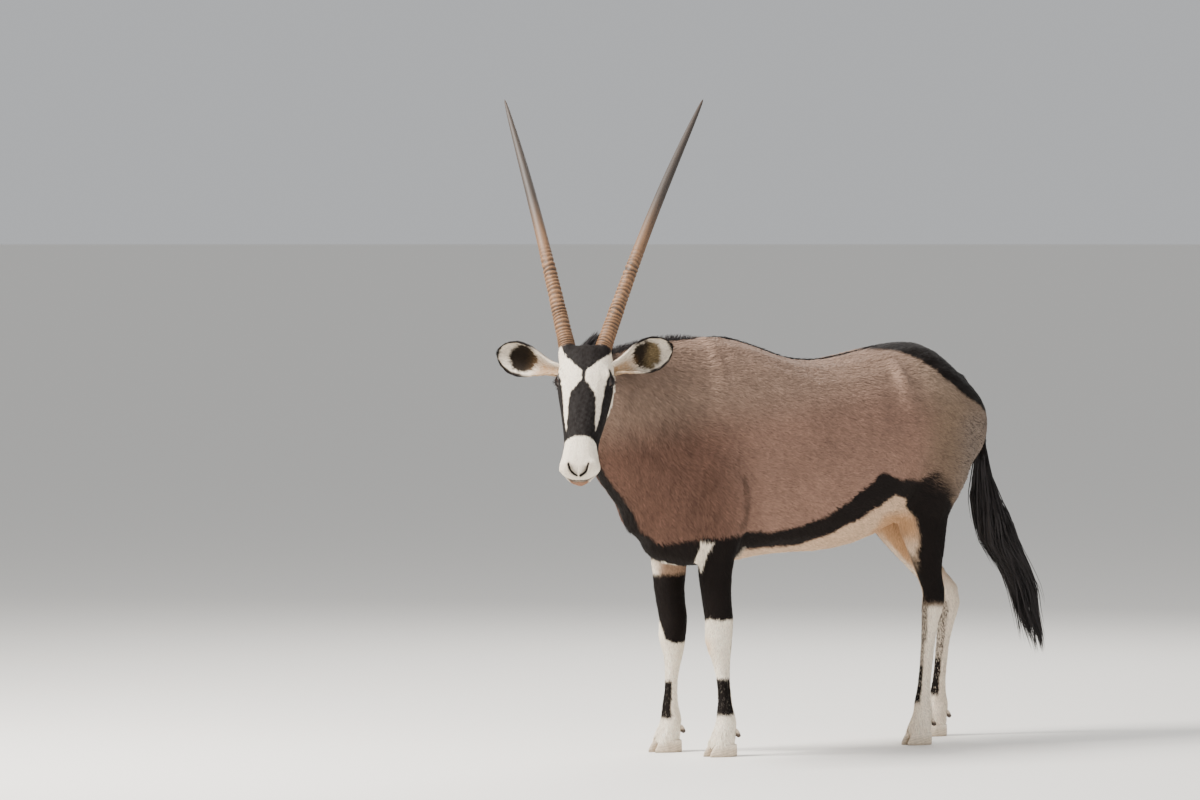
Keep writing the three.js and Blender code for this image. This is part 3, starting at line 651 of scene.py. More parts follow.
def face_detail(points):
    """Moves the skin round the eyes, nostrils and mouth, in the animal's millimetres."""
    head = to_head(points)
    # the muzzle narrows down to the chin
    head[:, 1] *= 1 - 0.2 * rise(head @ [0.82, 0, -0.57], 328, 356) * rise(head[:, 0], 290, 320)
    for side in (1, -1):
        own = head[:, 1] * side > 0
        value, offset = almond(head, side)
        far = np.linalg.norm(offset, axis=1)
        way = unit(offset)
        near = own & (far < EYE_RADIUS_MM + 16)
        opened = near & (value < 1)
        head[opened] = (EYE_MM * [1, side, 1] + way * (EYE_RADIUS_MM - 5))[opened]
        fold = near & ~opened & (offset @ EYE_WAY[side] > 0)
        close = np.exp(-((np.maximum(value, 1) - 1) / 1.3) ** 2)
        radius = far + (EYE_RADIUS_MM + 3.0 - far) * close
        head[fold] = (EYE_MM * [1, side, 1] + way * radius[:, None])[fold]
        # the crease over the upper lid and the tear trough below the inner corner
        crease, _ = path_distance(head, [(62, side * 60, -14), (78, side * 66, -10), (98, side * 66, -16)])
        head[own] -= (EYE_WAY[side] * (2.2 * bell(crease, 5))[:, None])[own]
    _, depth, share = nostril_place(head)
    width = along_keys(share, [(0, 2.4), (0.3, 4), (0.7, 5.4), (1, 3)])
    hole = 9 * (1 - rise(depth / width, 0.25, 1.0))
    rim = 2.2 * bell(depth / width - 1.35, 0.35)
    inward = np.full((len(head), 3), (-0.75, -0.35, -0.55))
    inward[:, 1] *= np.sign(head[:, 1])
    inward = unit(inward)
    head += inward * (hole - rim)[:, None]
    line, where = mouth_distance(head)
    groove = 4.4 * bell(line, 2.8) * where
    lips = 1.6 * bell(line - 7, 4) * where
    centre = np.array([330.0, 0.0, -80.0])
    head += unit(centre - head) * (groove - lips)[:, None]
    # the groove between the nostrils
    middle, _ = path_distance(head, [(372, 0, -40), (390, 0, -62), (395, 0, -76)])
    head += unit(centre - head) * (1.8 * bell(middle, 3))[:, None]
    return from_head(head)


NECK_GROOVES_MM = [
    [(613, 130, 844), (689, 123, 892), (765, 133, 933), (817, 150, 974)],
    [(647, -117, 844), (747, -79, 892), (843, -29, 933)],
]
ELBOW_MM = [(640, 369), (686, 354), (730, 350), (774, 354), (810, 362)]  # height, place of the crease


def elbow_crease(points):
    """How far ahead of the crease behind the elbow each point lies, and how deep the crease is there."""
    x, y, z = points.T
    past = x - 0.82 * (np.abs(y) - 130) - along_keys(z, ELBOW_MM)
    return past, between(z, 655, 800, 14) * rise(np.abs(y), 70, 110)


def body_detail(points, normals, region):
    """How far the skin stands out at each point for hip, shoulder, tendons and folds, in millimetres."""
    x, y, z = points.T
    side = np.abs(y)
    rise_at = lambda cx, cy, cz, rx, rz, high: high * np.exp(
        -(((x - cx) / rx) ** 2) - (((z - cz) / rz) ** 2) - ((side - cy) / 60) ** 2
    )
    trunk = (region == BODY) | (region == NECK)
    height = rise_at(-208, 150, 1062, 18, 48, 15) + rise_at(-350, 150, 1000, 60, 80, 3)
    height -= rise_at(-262, 165, 1015, 38, 70, 6)
    # the flank's hollow before the thigh, and the fold of skin that runs down to the stifle
    height -= rise_at(-160, 205, 990, 46, 90, 11)
    height += rise_at(-235, 185, 800, 26, 80, 5) - rise_at(-190, 200, 800, 22, 70, 3)
    # the shoulder blade's spine and the crease behind the upper arm
    blade, _ = path_distance(np.stack([x, side, z], 1), [(455, 120, 1110), (470, 160, 960), (490, 165, 800)])
    height += 4 * bell(blade, 38)
    # the groove along the neck's side over the windpipe, and the folds behind the jaw
    for groove in NECK_GROOVES_MM:
        far, _ = path_distance(points, groove)
        height -= 4.5 * bell(far, 20)
    height += 1.3 * np.sin((x * 0.85 + z * 0.35) / 13) * rise(x, 700, 820)
    ribs = np.sin((x + 0.35 * (z - 800)) / 11.5) * between(x, -60, 300, 40) * between(z, 700, 960, 50)
    height += 0.7 * ribs
    height = np.where(trunk, height, 0)
    past, deep = elbow_crease(points)
    height -= deep * (8 * bell(past, 6.5) - 4 * bell(past - 17, 9))
    # cords of tendon behind each cannon bone
    shank = between(z, 105, 330, 30) * ((region == FORE) | (region == HIND))
    behind = normals[:, 0]
    height += shank * (1.6 * bell(behind + 0.75, 0.25) - 2.2 * bell(behind + 0.3, 0.25))
    return height


FLOWS = {
    BODY: (-0.9, 0, -0.42),
    NECK: (-0.62, -0.1, -0.75),
    FORE: (-0.12, 0, -1),
    HIND: (-0.16, 0, -1),
    DOCK: (-0.15, 0, -1),
}


def lie(points, normals, region):
    """The way that the hair lies at each point, before smoothing."""
    way = np.zeros_like(points)
    for code, flow in FLOWS.items():
        way[region == code] = flow
    trunk = (region == BODY) | (region == NECK)
    ahead = rise(points[:, 0] - 0.3 * (points[:, 2] - 900), 300, 680)[:, None]
    blended = np.array(FLOWS[BODY]) * (1 - ahead) + np.array(FLOWS[NECK]) * ahead
    way[trunk] = blended[trunk]
    top = rise(points[:, 2], 1040, 1120)[:, None] * (region == BODY)[:, None] * (1 - ahead)
    way = way * (1 - top) + np.array([-1, 0, -0.12]) * top
    head = region == HEAD
    front = rise(normals @ OUT, -0.1, 0.5)
    way[head] = (-ALONG * 0.9 - OUT * (0.55 * (1 - front))[:, None])[head]
    for side in (1, -1):
        ear = (region == EAR) & ((points - POLL_MM) @ LEFT * side > 0)
        way[ear] = ear_axes(side)[1]
    swirl = wobble(points, 160, 3)[:, None] * np.cross(way, normals) * 0.22
    fine = wobble(points, 38, 4)[:, None] * np.cross(way, normals) * 0.16
    return way + swirl + fine


def to_tangent(way, normals):
    """Directions laid flat on the surface."""
    return unit(way - normals * (way * normals).sum(1, keepdims=True))


# Markings, with some painted light and shade: the colour of the coat at each point


FLANK_TOP = [
    # x, height of the flank stripe's upper edge
    (-380, 800), (-319, 801), (-266, 775), (-161, 782), (-74, 804), (-39, 773), (27, 729), (84, 689),
    (173, 654), (270, 641), (409, 638), (470, 632), (505, 627), (560, 620), (639, 612), (690, 592),
]  # fmt: skip
FLANK_BOTTOM = [
    (-215, 722), (-151, 738), (-96, 706), (-29, 672), (56, 627), (137, 598), (238, 592), (398, 591),
    (425, 500), (700, 300),
]  # fmt: skip
THIGH_FRONT = [(430, -330), (500, -303), (568, -288), (626, -278), (670, -262), (725, -208), (830, -200)]
THIGH_REAR = [(600, -520), (650, -450), (700, -410), (745, -375), (790, -330), (810, -318)]
RUMP_EDGE = [
    # x, lowest black of the rump's patch
    (-640, 930), (-600, 947), (-560, 966), (-496, 995), (-428, 1026), (-357, 1076), (-293, 1124),
    (-245, 1142), (-140, 1150),
]  # fmt: skip
HIND_STEP = [(120, -257), (415, -256), (495, -202), (585, -139), (668, -76), (745, -57), (850, -27), (960, 0)]
THROAT_MM = [(606, -8, 602), (686, -2, 696), (762, 14, 770), (838, 44, 836), (884, 84, 900), (895, 104, 950)]
# distance from the middle and height of the black's edge
KNEE_LEFT = [(60, 383), (85, 391), (105, 399), (125, 393)]
KNEE_RIGHT = [(60, 318), (78, 330), (98, 372), (125, 400)]


def body_colour(p, n, speckle):
    """Trunk, neck and legs."""
    x, y, z = p.T
    side = np.abs(y)
    edge = wobble(p, 55, 11) * 3.4 + wobble(p, 14, 12) * 1.8
    tone = colour("flank") * np.ones((len(p), 1))
    # the neck and shoulder are browner hair, painted darker also as painted shade
    tone = mix(tone, colour("neck"), rise(x - 0.3 * (z - 900), 320, 560))
    tone = mix(tone, colour("rump"), rise(-x, 190, 380))
    grey = rise(-x, 300, 480) * between(z, 640, 975, 45) * rise(-x - 0.25 * (z - 650), 280, 420)
    tone = mix(tone, tint("#766a61"), grey * 0.65)
    tone = mix(tone, tint("#2a211b"), grey * rise(speckle, 0.62, 0.8) * 0.7)
    streak = wobble(p * [1, 1, 0.4], 15, 15) * (0.25 + rise(x, 250, 520))
    # painted light: the top of the back is painted lighter, where the light falls on it
    tone = mix(tone, tint("#9c8775"), 0.42 * rise(z + 0.12 * np.abs(x + 100), 960, 1110))
    tone = tone * (1 + 0.07 * wobble(p, 190, 13) + 0.06 * wobble(p, 45, 14) + 0.11 * streak)[:, None]
    # painted shade darkens the crease behind the elbow
    past, deep = elbow_crease(p)
    tone = tone * (1 - 0.38 * deep * bell(past, 6))[:, None]
    black, white, tan = colour("black"), colour("white"), colour("tan")
    # belly, pale below the stripe: painted tan, partly its own tan and partly painted shade under the body
    low = along_keys(x, FLANK_BOTTOM) + edge
    top = along_keys(x, FLANK_TOP) + edge
    pale = (1 - rise(z, low - 6, low + 6)) * rise(x, -420, -380) * rise(-x, -420, -380)
    tone = mix(tone, mix(tan[None], white, 0.25), pale)
    # hind legs in the left one's place
    own = np.where(y < 0, x - along_keys(z, HIND_STEP), x)
    outer = rise(np.sign(y) * n[:, 1], -0.5, -0.12)
    pale_leg = mix(tan[None], white, 0.82 * rise(-z, -560, -420))
    pale_leg = mix(pale_leg, white, outer * 0.5 * rise(-z, -640, -560))
    front = along_keys(z, THIGH_FRONT) + edge
    rear = along_keys(z, THIGH_REAR) + edge
    under = rise(-z, -700, -660) * rise(-x, 100, 160)
    tone = mix(tone, pale_leg, under * np.maximum(rise(own, front - 8, front + 8), 1 - outer))
    tone = mix(tone, pale_leg, rise(-x, 150, 180) * rise(-z, -420, -400))
    # stripe along the flank, joining the brisket
    stripe = (1 - rise(z, top - 5, top + 5)) * rise(z, low - 5, low + 5) * rise(x, -222, -208)
    stripe *= 1 - rise(x, 700, 720)
    band = rise(-own, -front - 7, -front + 7) * (1 - rise(z, top - 8, top + 8)) * rise(-x, 120, 150)
    faded = rise(z, 640, 740)
    reach = 14 + 34 * faded
    band *= rise(own, rear - reach, rear + reach * (0.4 + 0.6 * speckle))
    band *= outer * rise(z, 396, 424)
    broken = 1 - 0.6 * rise(z, 725, 800) * rise(-own, 270, 330) * rise(speckle, 0.45, 0.7)
    tone = mix(tone, black, np.maximum(stripe, band * broken * (z < 830)))
    # forelegs
    fore = rise(x, 325, 345) * (x < 560) * (z < 640)
    around = np.degrees(np.arctan2(n[:, 1] * np.sign(y), n[:, 0])) + edge * 1.5
    knee = np.where(y > 0, along_keys(side, KNEE_LEFT), along_keys(side, KNEE_RIGHT)) + edge
    black_fore = fore * rise(z, knee - 4, knee + 4) * (1 - rise(z, top - 5, top + 5))
    tone = mix(tone, white, fore * (z < 600))
    stain = np.exp(-(((z - 318) / 26) ** 2) - (((around + 18) / 32) ** 2))
    tone = mix(tone, tint("#cfa673"), fore * (y > 0) * stain * 0.55)
    tone = mix(tone, black, black_fore)
    # a white wedge on the left forearm, and a band across the right one
    half = 48 * np.clip((z - 528) / 85, 0, 1.1)
    wedge = (y > 0) * rise(half - np.abs(around - 2), -4, 4)
    wedge = wedge * rise(z, 528, 540) * (1 - rise(z + edge, 616, 628))
    tone = mix(tone, white, fore * wedge)
    band = (y < 0) * between(z + edge, 522, 562, 7)
    # the right band is white, painted browner towards its inner side as painted shade
    tone = mix(tone, mix(white[None], tint("#9d8069"), rise(-around, -20, 40)), fore * band * 0.9)
    # cannon patches
    drop = np.where(y > 0, 0, -22)
    patch = fore * between(around, np.where(y > 0, -46, -66), 122, 9)
    patch = patch * between(z + edge, 122 + drop, 228 + drop * 0.8, 7)
    tone = mix(tone, black, patch * (1 - 0.1 * rise(speckle, 0.9, 0.97)))
    shin = (x < 0) * between(around, -62, 34, 9)
    tone = mix(tone, black, shin * between(z + edge, 126, 240, 8) * (1 - 0.5 * rise(speckle, 0.9, 0.95)))
    flecks = 0.35 + 0.6 * rise(speckle, 0.4, 0.7)
    tone = mix(tone, tint("#2f2520"), shin * between(z, 236, 415, 12) * flecks)
    # rump, back and throat
    rump = along_keys(x, RUMP_EDGE) + edge * 0.8
    tone = mix(tone, black, rise(z, rump - 6, rump + 8) * rise(-x, 130, 160))
    ridge = bell(side, 13) * between(x, -240, 560, 40) * rise(z, 1090, 1110)
    tone = mix(tone, black, ridge * (0.75 + 0.2 * rise(x, 330, 480)))
    throat, share = path_distance(p, THROAT_MM)
    wide = along_keys(share, [(0, 46), (0.2, 34), (0.5, 24), (1, 22)])
    return mix(tone, black, 1 - rise(throat + edge, wide - 5, wide + 5))


FOREHEAD_HALF = [(-60, 74), (-40, 72), (-9, 66), (20, 52), (40, 35), (58, 21), (69, 8), (76, 4.5), (109, 4)]
NASAL_HALF = [(100, 3.5), (109, 11), (121, 20), (137, 32), (156, 37), (186, 39), (247, 40), (290, 41.5)]
STRIPE_INNER = [
    (84, 14), (96, 24), (112, 31), (165, 34), (215, 33), (250, 36), (262, 50), (278, 50), (284, 34),
    (294, 20), (314, 8),
]  # fmt: skip
STRIPE_OUTER = [(84, -12), (100, -24), (140, -33), (200, -34), (260, -26), (300, -14), (318, 14)]
HEAD_LEVEL = [
    (-40, -90), (34, -63), (76, -55), (112, -56), (152, -65), (198, -69), (244, -65), (287, -66), (390, -72),
]  # fmt: skip


def head_colour(p, n):
    """The mask of the face, in the head's frame."""
    head = to_head(p)
    a, l, d = head.T
    side = np.abs(l)
    edge = wobble(p, 26, 21) * 1.6 + wobble(p, 8, 22) * 0.9
    angle = np.degrees(np.arctan2(d - along_keys(a, HEAD_LEVEL), side)) + edge * 0.8
    white, black = colour("white"), colour("black")
    grey = tint("#9a8677")
    tone = white * np.ones((len(p), 1))
    tone = tone * (1 + 0.03 * wobble(p, 30, 23))[:, None]
    # behind the eye and under the jaw
    nape = rise(-a, 14, 30) + (1 - rise(a, 32, 70)) * (1 - rise(angle, -18, 8))
    tone = mix(tone, grey, np.clip(nape, 0, 1))
    jaw = (1 - rise(angle, -62, -54)) * (1 - rise(a, 215, 250))
    tone = mix(tone, colour("neck"), jaw)
    line = between(angle, -56, -42, 3) * between(a, 70, 262, 12)
    tone = mix(tone, black, line * 0.9)
    # forehead and nose
    forehead, nose = along_keys(a, FOREHEAD_HALF), along_keys(a, NASAL_HALF)
    top = between(a + edge, -43, 90, 3) * (1 - rise(side + edge, forehead - 1.5, forehead + 1.5))
    waist = between(a, 60, 120, 4) * (1 - rise(side + edge * 0.5, 4, 7)) * (n @ OUT > 0)
    nasal = between(a + edge, 100, 279 + 0.004 * side**2, 2.5)
    nasal *= 1 - rise(side + edge, nose - 1.5, nose + 1.5)
    dark = np.maximum(np.maximum(top, waist), nasal) * (n @ OUT > -0.1)
    # cheek stripe from the eye to the corner of the mouth
    inner, outer = along_keys(a, STRIPE_INNER), along_keys(a, STRIPE_OUTER)
    cheek = between(a + edge, 84, 312, 5) * (1 - rise(angle, inner - 3, inner + 3))
    cheek = cheek * rise(angle, outer - 4, outer + 4)
    dark = np.maximum(dark, cheek)
    ring, _ = path_distance(np.stack([a, side, d], 1), [(62, 62, -32), (80, 70, -32), (99, 68, -34)])
    dark = np.maximum(dark, 1 - rise(ring, 13, 17))
    sheen = black * 1.0 + 0.006 * (1 + wobble(p, 12, 24))[:, None]
    tone = mix(tone, sheen, dark)
    # muzzle: painted shade, grey round the nostrils and near black in their slits; tan lower lip
    down, nostril, _ = nostril_place(head)
    hole = 1 - rise(nostril, 2.2, 4.6)
    within = along_keys(down, NOSTRIL_MM) - side
    shade = bell(within, 14) * rise(within, -1.5, 1) * between(down, 316, 346, 6) * 0.85
    shade = np.maximum(shade * (a > 335), bell(nostril, 5) * 0.7)
    shade *= rise(side, 0.5, 4) * (n @ ALONG > -0.4)
    tone = mix(tone, tint("#332b26"), np.clip(shade, 0, 0.9))
    tone = mix(tone, tint("#0d0908"), hole)
    lip, where = mouth_distance(head)
    below = rise(-d, 69, 74) * rise(a, 352, 376) * (1 - rise(side, 21, 31))
    tone = mix(tone, tint("#6f3f1c"), below * 0.9)
    # painted shade: a dark line along the groove of the mouth
    tone = mix(tone, tint("#150c08"), bell(lip, 4.4) * where)
    return mix(tone, tint("#6b4935"), rise(-a - edge, 42, 46) * (1 - rise(side, 38, 46)))


def ear_colour(p, n, speckle):
    """Dark cup, whitish inner hair, black rim and tip, grey-brown back."""
    tone = np.zeros_like(p)
    grey = tint("#9c8878")
    for side in (1, -1):
        mine = (p - POLL_MM) @ LEFT * side > 0
        root, along, face, across = ear_axes(side)
        offset = p[mine] - root
        s = offset @ along / EAR_LENGTH_MM
        half = along_keys(s, EAR_KEYS, 1)
        u = offset @ across / np.maximum(half, 4) * np.sign(across[2])
        inside = rise(n[mine] @ face, 0.0, 0.25)
        edge = wobble(p[mine], 20, 31) * 0.05
        spot = speckle[mine]
        shade = mix(grey * np.ones((mine.sum(), 1)), colour("white"), 0.25 * spot)
        inner = mix(colour("white") * np.ones((mine.sum(), 1)), tint("#8d8073"), 0.5 * spot)
        round_cup = np.arctan2(u - 0.02, (s - 0.61) * 3)
        streak = np.sin(round_cup * 31 + 2 * np.sin(round_cup * 7)) * 0.5 + 0.5 * (2 * spot - 1)
        cup = np.hypot((s - 0.61) / 0.225, (u - 0.02) / 0.86) + edge * 2 + 0.13 * streak
        # painted light: the left cup is painted paler towards its tip and the right cup browner low down, as
        # light reaches into each
        pale_side = (side > 0) * rise(s - 0.16 * u + 0.05 * (spot - 0.5) + 0.03 * streak, 0.52, 0.68)
        dark = mix(tint("#20180f")[None], tint("#84704f"), pale_side * (0.45 + 0.5 * spot))
        dark = mix(dark, tint("#4b3a26"), (side < 0) * (1 - rise(s, 0.42, 0.6)) * 0.7)
        inner = mix(inner, dark, 1 - rise(cup, 0.86, 1.08))
        warm = (1 - rise(s, 0.26, 0.5)) * (1 - rise(u, -0.1, 0.7)) * (0.6 + 0.4 * spot)
        inner = mix(inner, tint("#a07748"), warm)
        shade = mix(shade, inner, inside)
        border = rise(np.abs(u), 0.85, 0.94) * rise(s, 0.33, 0.55) + rise(s, 0.935, 0.975)
        back_rim = (1 - inside) * (rise(np.abs(u), 0.72, 0.86) * rise(s, 0.4, 0.6) + rise(s, 0.86, 0.95))
        shade = mix(shade, colour("black"), np.clip(border + back_rim, 0, 1))
        tone[mine] = shade
    return tone


def coat_colour(points, normals, region, speckle):
    """The coat's colour at points in the animal's millimetres."""
    tone = body_colour(points, normals, speckle)
    head = region == HEAD
    tone[head] = head_colour(points[head], normals[head])
    ear = region == EAR
    if ear.any():
        tone[ear] = ear_colour(points[ear], normals[ear], speckle[ear])
    tone[region == DOCK] = colour("black")
    return tone


# An unwrap of the skin: each region is a cylinder laid out in its own cell of the map


CELLS = {
    # region: left, bottom, width and height of its cell
    (BODY, 1): (0.0, 0.0, 0.6, 0.5),
    (NECK, 1): (0.61, 0.0, 0.39, 0.5),
    (HEAD, 1): (0.0, 0.51, 0.4, 0.49),
    (FORE, 1): (0.41, 0.51, 0.12, 0.49),
    (FORE, -1): (0.54, 0.51, 0.12, 0.49),
    (HIND, 1): (0.67, 0.51, 0.12, 0.49),
    (HIND, -1): (0.8, 0.51, 0.12, 0.49),
    (EAR, 1): (0.93, 0.51, 0.07, 0.2),
    (EAR, -1): (0.93, 0.72, 0.07, 0.2),
    (DOCK, 1): (0.93, 0.93, 0.07, 0.07),
}
LEG_MIDDLE = {
    (FORE, 1): [(44, 426), (120, 413), (282, 415), (550, 430), (700, 416)],
    (FORE, -1): [(44, 443), (120, 430), (282, 432), (550, 447), (700, 416)],
    (HIND, 1): [(44, -311), (120, -326), (430, -366), (665, -322), (750, -330)],
    (HIND, -1): [(44, -568), (120, -583), (404, -622), (668, -398), (750, -390)],
}


def unwrap(points, normals, region, side):
    """Each point's place on the map, with the turn round its cylinder and its length."""
    turn = np.zeros(len(points))
    length = np.zeros(len(points))
    x, y, z = points.T
    for code, low, high in ((BODY, -640, 560), (NECK, 300, 1000)):
        mine = region == code
        if code == BODY:
            turn[mine] = np.arctan2(z[mine] - 900, y[mine])
        else:
            turn[mine] = np.arctan2(z[mine] - 930 - 0.25 * (x[mine] - 500), y[mine] - 0.25 * (x[mine] - 480))
        length[mine] = (x[mine] - low) / (high - low)
    mine = region == HEAD
    head = to_head(points[mine])
    turn[mine] = np.arctan2(head[:, 2] - along_keys(head[:, 0], HEAD_LEVEL), head[:, 1])
    length[mine] = (head[:, 0] + 60) / 460
    for (code, way), keys in LEG_MIDDLE.items():
        mine = (region == code) & (side == way)
        turn[mine] = np.arctan2(y[mine] - way * 112, x[mine] - along_keys(z[mine], keys))
        length[mine] = z[mine] / 800
    for way in (1, -1):
        mine = (region == EAR) & (side == way)
        root, along, face, across = ear_axes(way)
        offset = points[mine] - root
        back = normals[mine] @ face < 0
        turn[mine] = np.clip(offset @ across / 55, -1, 1) * 1.5 + np.where(back, 1.57, -1.57)
        length[mine] = (offset @ along / EAR_LENGTH_MM + 0.1) / 1.15
    mine = region == DOCK
    turn[mine] = np.arctan2(y[mine] - 5, x[mine] + 640)
    length[mine] = (z[mine] - 560) / 500
    return turn, np.clip(length, 0, 1)


def cell_places(turn, length, region, side):
    """Turn and length to the map, in each region's cell."""
    places = np.zeros((len(turn), 2))
    for (code, way), (left, bottom, width, height) in CELLS.items():
        mine = region == code
        if (code, -1) in CELLS:
            mine &= side == way
        places[mine, 0] = left + width * (0.03 + 0.94 * (turn[mine] / (2 * math.pi) + 0.5))
        places[mine, 1] = bottom + height * (0.03 + 0.94 * length[mine])
    return places


def region_side(points, region):
    """1 on the animal's left, -1 on its right, from the head's own middle for the ears."""
    left = np.where(points[:, 1] >= 0, 1, -1)
    ear = region == EAR
    left[ear] = np.where((points[ear] - POLL_MM) @ LEFT > 0, 1, -1)
    return left


def unwrap_mesh(mesh, points, normals, region):
    """Gives the skin its OFBake map, with no face torn across a cylinder's seam."""
    counts = read_rows(mesh.polygons, "loop_total", 1, np.int32)[:, 0]
    corners = read_rows(mesh.loops, "vertex_index", 1, np.int32)[:, 0]
    first = np.concatenate([[0], np.cumsum(counts)[:-1]])
    owner = np.repeat(np.arange(len(counts)), counts)
    lead = corners[first][owner]
    side = region_side(points, region)
    turn, length = unwrap(points[corners], normals[corners], region[lead], side[lead])
    base = turn[first][owner]
    turn = turn - 2 * math.pi * np.round((turn - base) / (2 * math.pi))
    places = cell_places(turn, length, region[lead], side[lead])
    layer = mesh.uv_layers.new(name="OFBake")
    layer.data.foreach_set("uv", np.clip(places, 0, 1).astype(np.float32).ravel())


# Operators


SKIN = "skin"
SKIN_OVERLAP = 0.0009  # how far neighbouring CAD surfaces are moved into each other, in metres
SKIN_SHADE = 0.86  # the skin between the tufts is painted this much darker than they are, as painted shade under them
SKIN_SPECKLE = 0.4
DOCK_SIDES = 16


def dock_mesh():
    """The tail's core down to where the brush hides it, as a closed tube."""
    rows = smooth_keys(DOCK_MM, 30)
    points = to_world(rows[:, :3])
    radii = (rows[:, 3] * MM)[:, None, None]
    _, side, high = frames(points, (0, 1, 0))
    angle = round_turn(DOCK_SIDES)
    ring = np.cos(angle)[None, :, None] * side[:, None] * radii
    ring = ring + np.sin(angle)[None, :, None] * high[:, None] * radii
    body = (points[:, None] + ring).reshape(-1, 3)
    tube = mesh_from("dock", body, grid_faces(len(points), DOCK_SIDES))
    edited(tube, lambda made: bmesh.ops.holes_fill(made, edges=made.edges))
    return tube


class GemsbokSkin(bpy.types.Operator):
    """Makes the one skin over trunk, neck, head, legs and ears, with its folds and markings"""

    bl_idname = "gemsbok.skin"
    bl_label = "Skin"

    def execute(self, context):
        parts = [grown_part(name, SKIN_OVERLAP) for name in FLESH]
        mesh = remeshed(joined(parts + [dock_mesh()]), sizes().skin_grain)
        points = read_points(mesh)
        own = to_animal(points)
        head = to_head(own)
        on_head = (head[:, 0] > -60) & (np.abs(head[:, 1]) < 100)
        on_head &= (own[:, 2] > 780) & (own[:, 0] > 880)
        calm = np.where(on_head, 0.55, np.where(own[:, 2] < 560, 0.7, 1.0))
        points = relax(points, read_edges(mesh), calm, 9)
        set_points(mesh, points)
        # finer faces on the head and lower legs, finest on the muzzle and round the eyes
        near_head = (to_head(to_animal(points))[:, 0] > -55) & (own[:, 0] > 885) & (own[:, 2] > 780)
        elbow = (np.abs(own[:, 0] - 385) < 52) & (np.abs(own[:, 2] - 730) < 110)
        elbow &= np.abs(own[:, 1]) > 110
        refine(mesh, near_head | (own[:, 2] < 470) | elbow)
        points = relax(read_points(mesh), read_edges(mesh), 0.8, 4)
        set_points(mesh, points)
        head = to_head(to_animal(points))
        muzzle = (head[:, 0] > 326) & (to_animal(points)[:, 2] > 700)
        refine(mesh, muzzle | (eye_distance(head) < 38))
        points = relax(read_points(mesh), read_edges(mesh), 0.6, 2)
        set_points(mesh, points)
        normals = read_normals(mesh)
        region = nearest_regions(points)
        own = to_animal(points)
        region[(own[:, 0] < -612) & (own[:, 2] > 600) & (np.abs(own[:, 1]) < 40)] = DOCK
        depth = np.vectorize(COAT_DEPTH.get)(region)[:, None]
        depth = relax(depth, read_edges(mesh), 1, 12, keep=False)
        lift = body_detail(own, normals, region)[:, None] * MM
        points = points + normals * (lift - depth - SKIN_OVERLAP)
        points += filled(points, region == HEAD, read_edges(mesh))
        on_head = region == HEAD
        own = to_animal(points)
        own[on_head] = face_detail(own[on_head])
        set_points(mesh, to_world(own))
        mesh = self.with_ears(mesh, region)
        add_object(SKIN, mesh, material("hairy_skin"), list(FLESH) + ["ear_left", "ear_right"])
        mesh.shade_smooth()
        return {"FINISHED"}

    def with_ears(self, mesh, region):
        """Joins the ears, and gives the whole its regions, lie, colours and map."""
        head_count = len(mesh.vertices)
        ears = []
        for side in (1, -1):
            points, faces = ear_mesh(side)
            ears.append(mesh_from("ear", points, faces))
        whole = joined([mesh] + ears)
        points = read_points(whole)
        full = np.full(len(points), EAR)
        full[:head_count] = region
        normals = read_normals(whole)
        own = to_animal(points)
        way = to_tangent(lie(own, normals, full), normals)
        way = to_tangent(relax(way, read_edges(whole), 1, 10, keep=False), normals)
        speckle = np.random.default_rng(5).random(len(points))
        paint(whole, coat_colour(own, normals, full, speckle * SKIN_SPECKLE) * SKIN_SHADE)
        unwrap_mesh(whole, own, normals, full)
        layer = whole.attributes.new("region", "INT", "POINT")
        layer.data.foreach_set("value", full.astype(np.int32))
        layer = whole.attributes.new("lie", "FLOAT_VECTOR", "POINT")
        layer.data.foreach_set("vector", way.astype(np.float32).ravel())
        return whole


def filled(points, chosen, edges):
    """How far chosen points move out to regain the CAD head's volume, smoothed between neighbours."""
    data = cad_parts["head"].data
    tree = BVHTree.FromPolygons([v.co for v in data.vertices], [p.vertices for p in data.polygons])
    move = np.zeros_like(points)
    for i in np.nonzero(chosen)[0]:
        place, normal, _, far = tree.find_nearest(points[i])
        step = np.array(place) - points[i]
        if far > COAT_DEPTH[HEAD] and step @ np.array(normal) > 0:
            move[i] = step * (1 - COAT_DEPTH[HEAD] / far)
    head = to_head(to_animal(points))
    move *= (rise(eye_distance(head), 24, 34) * rise(head[:, 0], 30, 90))[:, None]
    return relax(move, edges, 1, 3, keep=False)


COAT_PIECES = {
    # piece: region, side of the animal or 0 for both, tufts
    "coat_trunk_left_fore": (BODY, 1, 52000),
    "coat_trunk_left_rear": (BODY, 1, 52000),
    "coat_trunk_right_fore": (BODY, -1, 52000),
    "coat_trunk_right_rear": (BODY, -1, 52000),
    "coat_neck": (NECK, 0, 60000),
    "coat_head": (HEAD, 0, 66000),
    "coat_forelegs": (FORE, 0, 62000),
    "coat_hind_legs": (HIND, 0, 62000),
    "coat_ears": (EAR, 0, 16000),
}
TRUNK_SPLIT = -20  # X where the trunk's two coat pieces meet, in millimetres


def triangles_of(mesh):
    """A mesh's triangles by point."""
    mesh.calc_loop_triangles()
    return read_rows(mesh.loop_triangles, "vertices", 3, np.int32)


def skin_arrays():
    """The skin's points, normals, regions and lie."""
    mesh = bpy.data.objects[SKIN].data
    region = read_rows(mesh.attributes["region"].data, "value", 1, np.int32)[:, 0]
    way = read_rows(mesh.attributes["lie"].data, "vector", 3).astype(float)
    return read_points(mesh), read_normals(mesh), region, way, triangles_of(mesh)


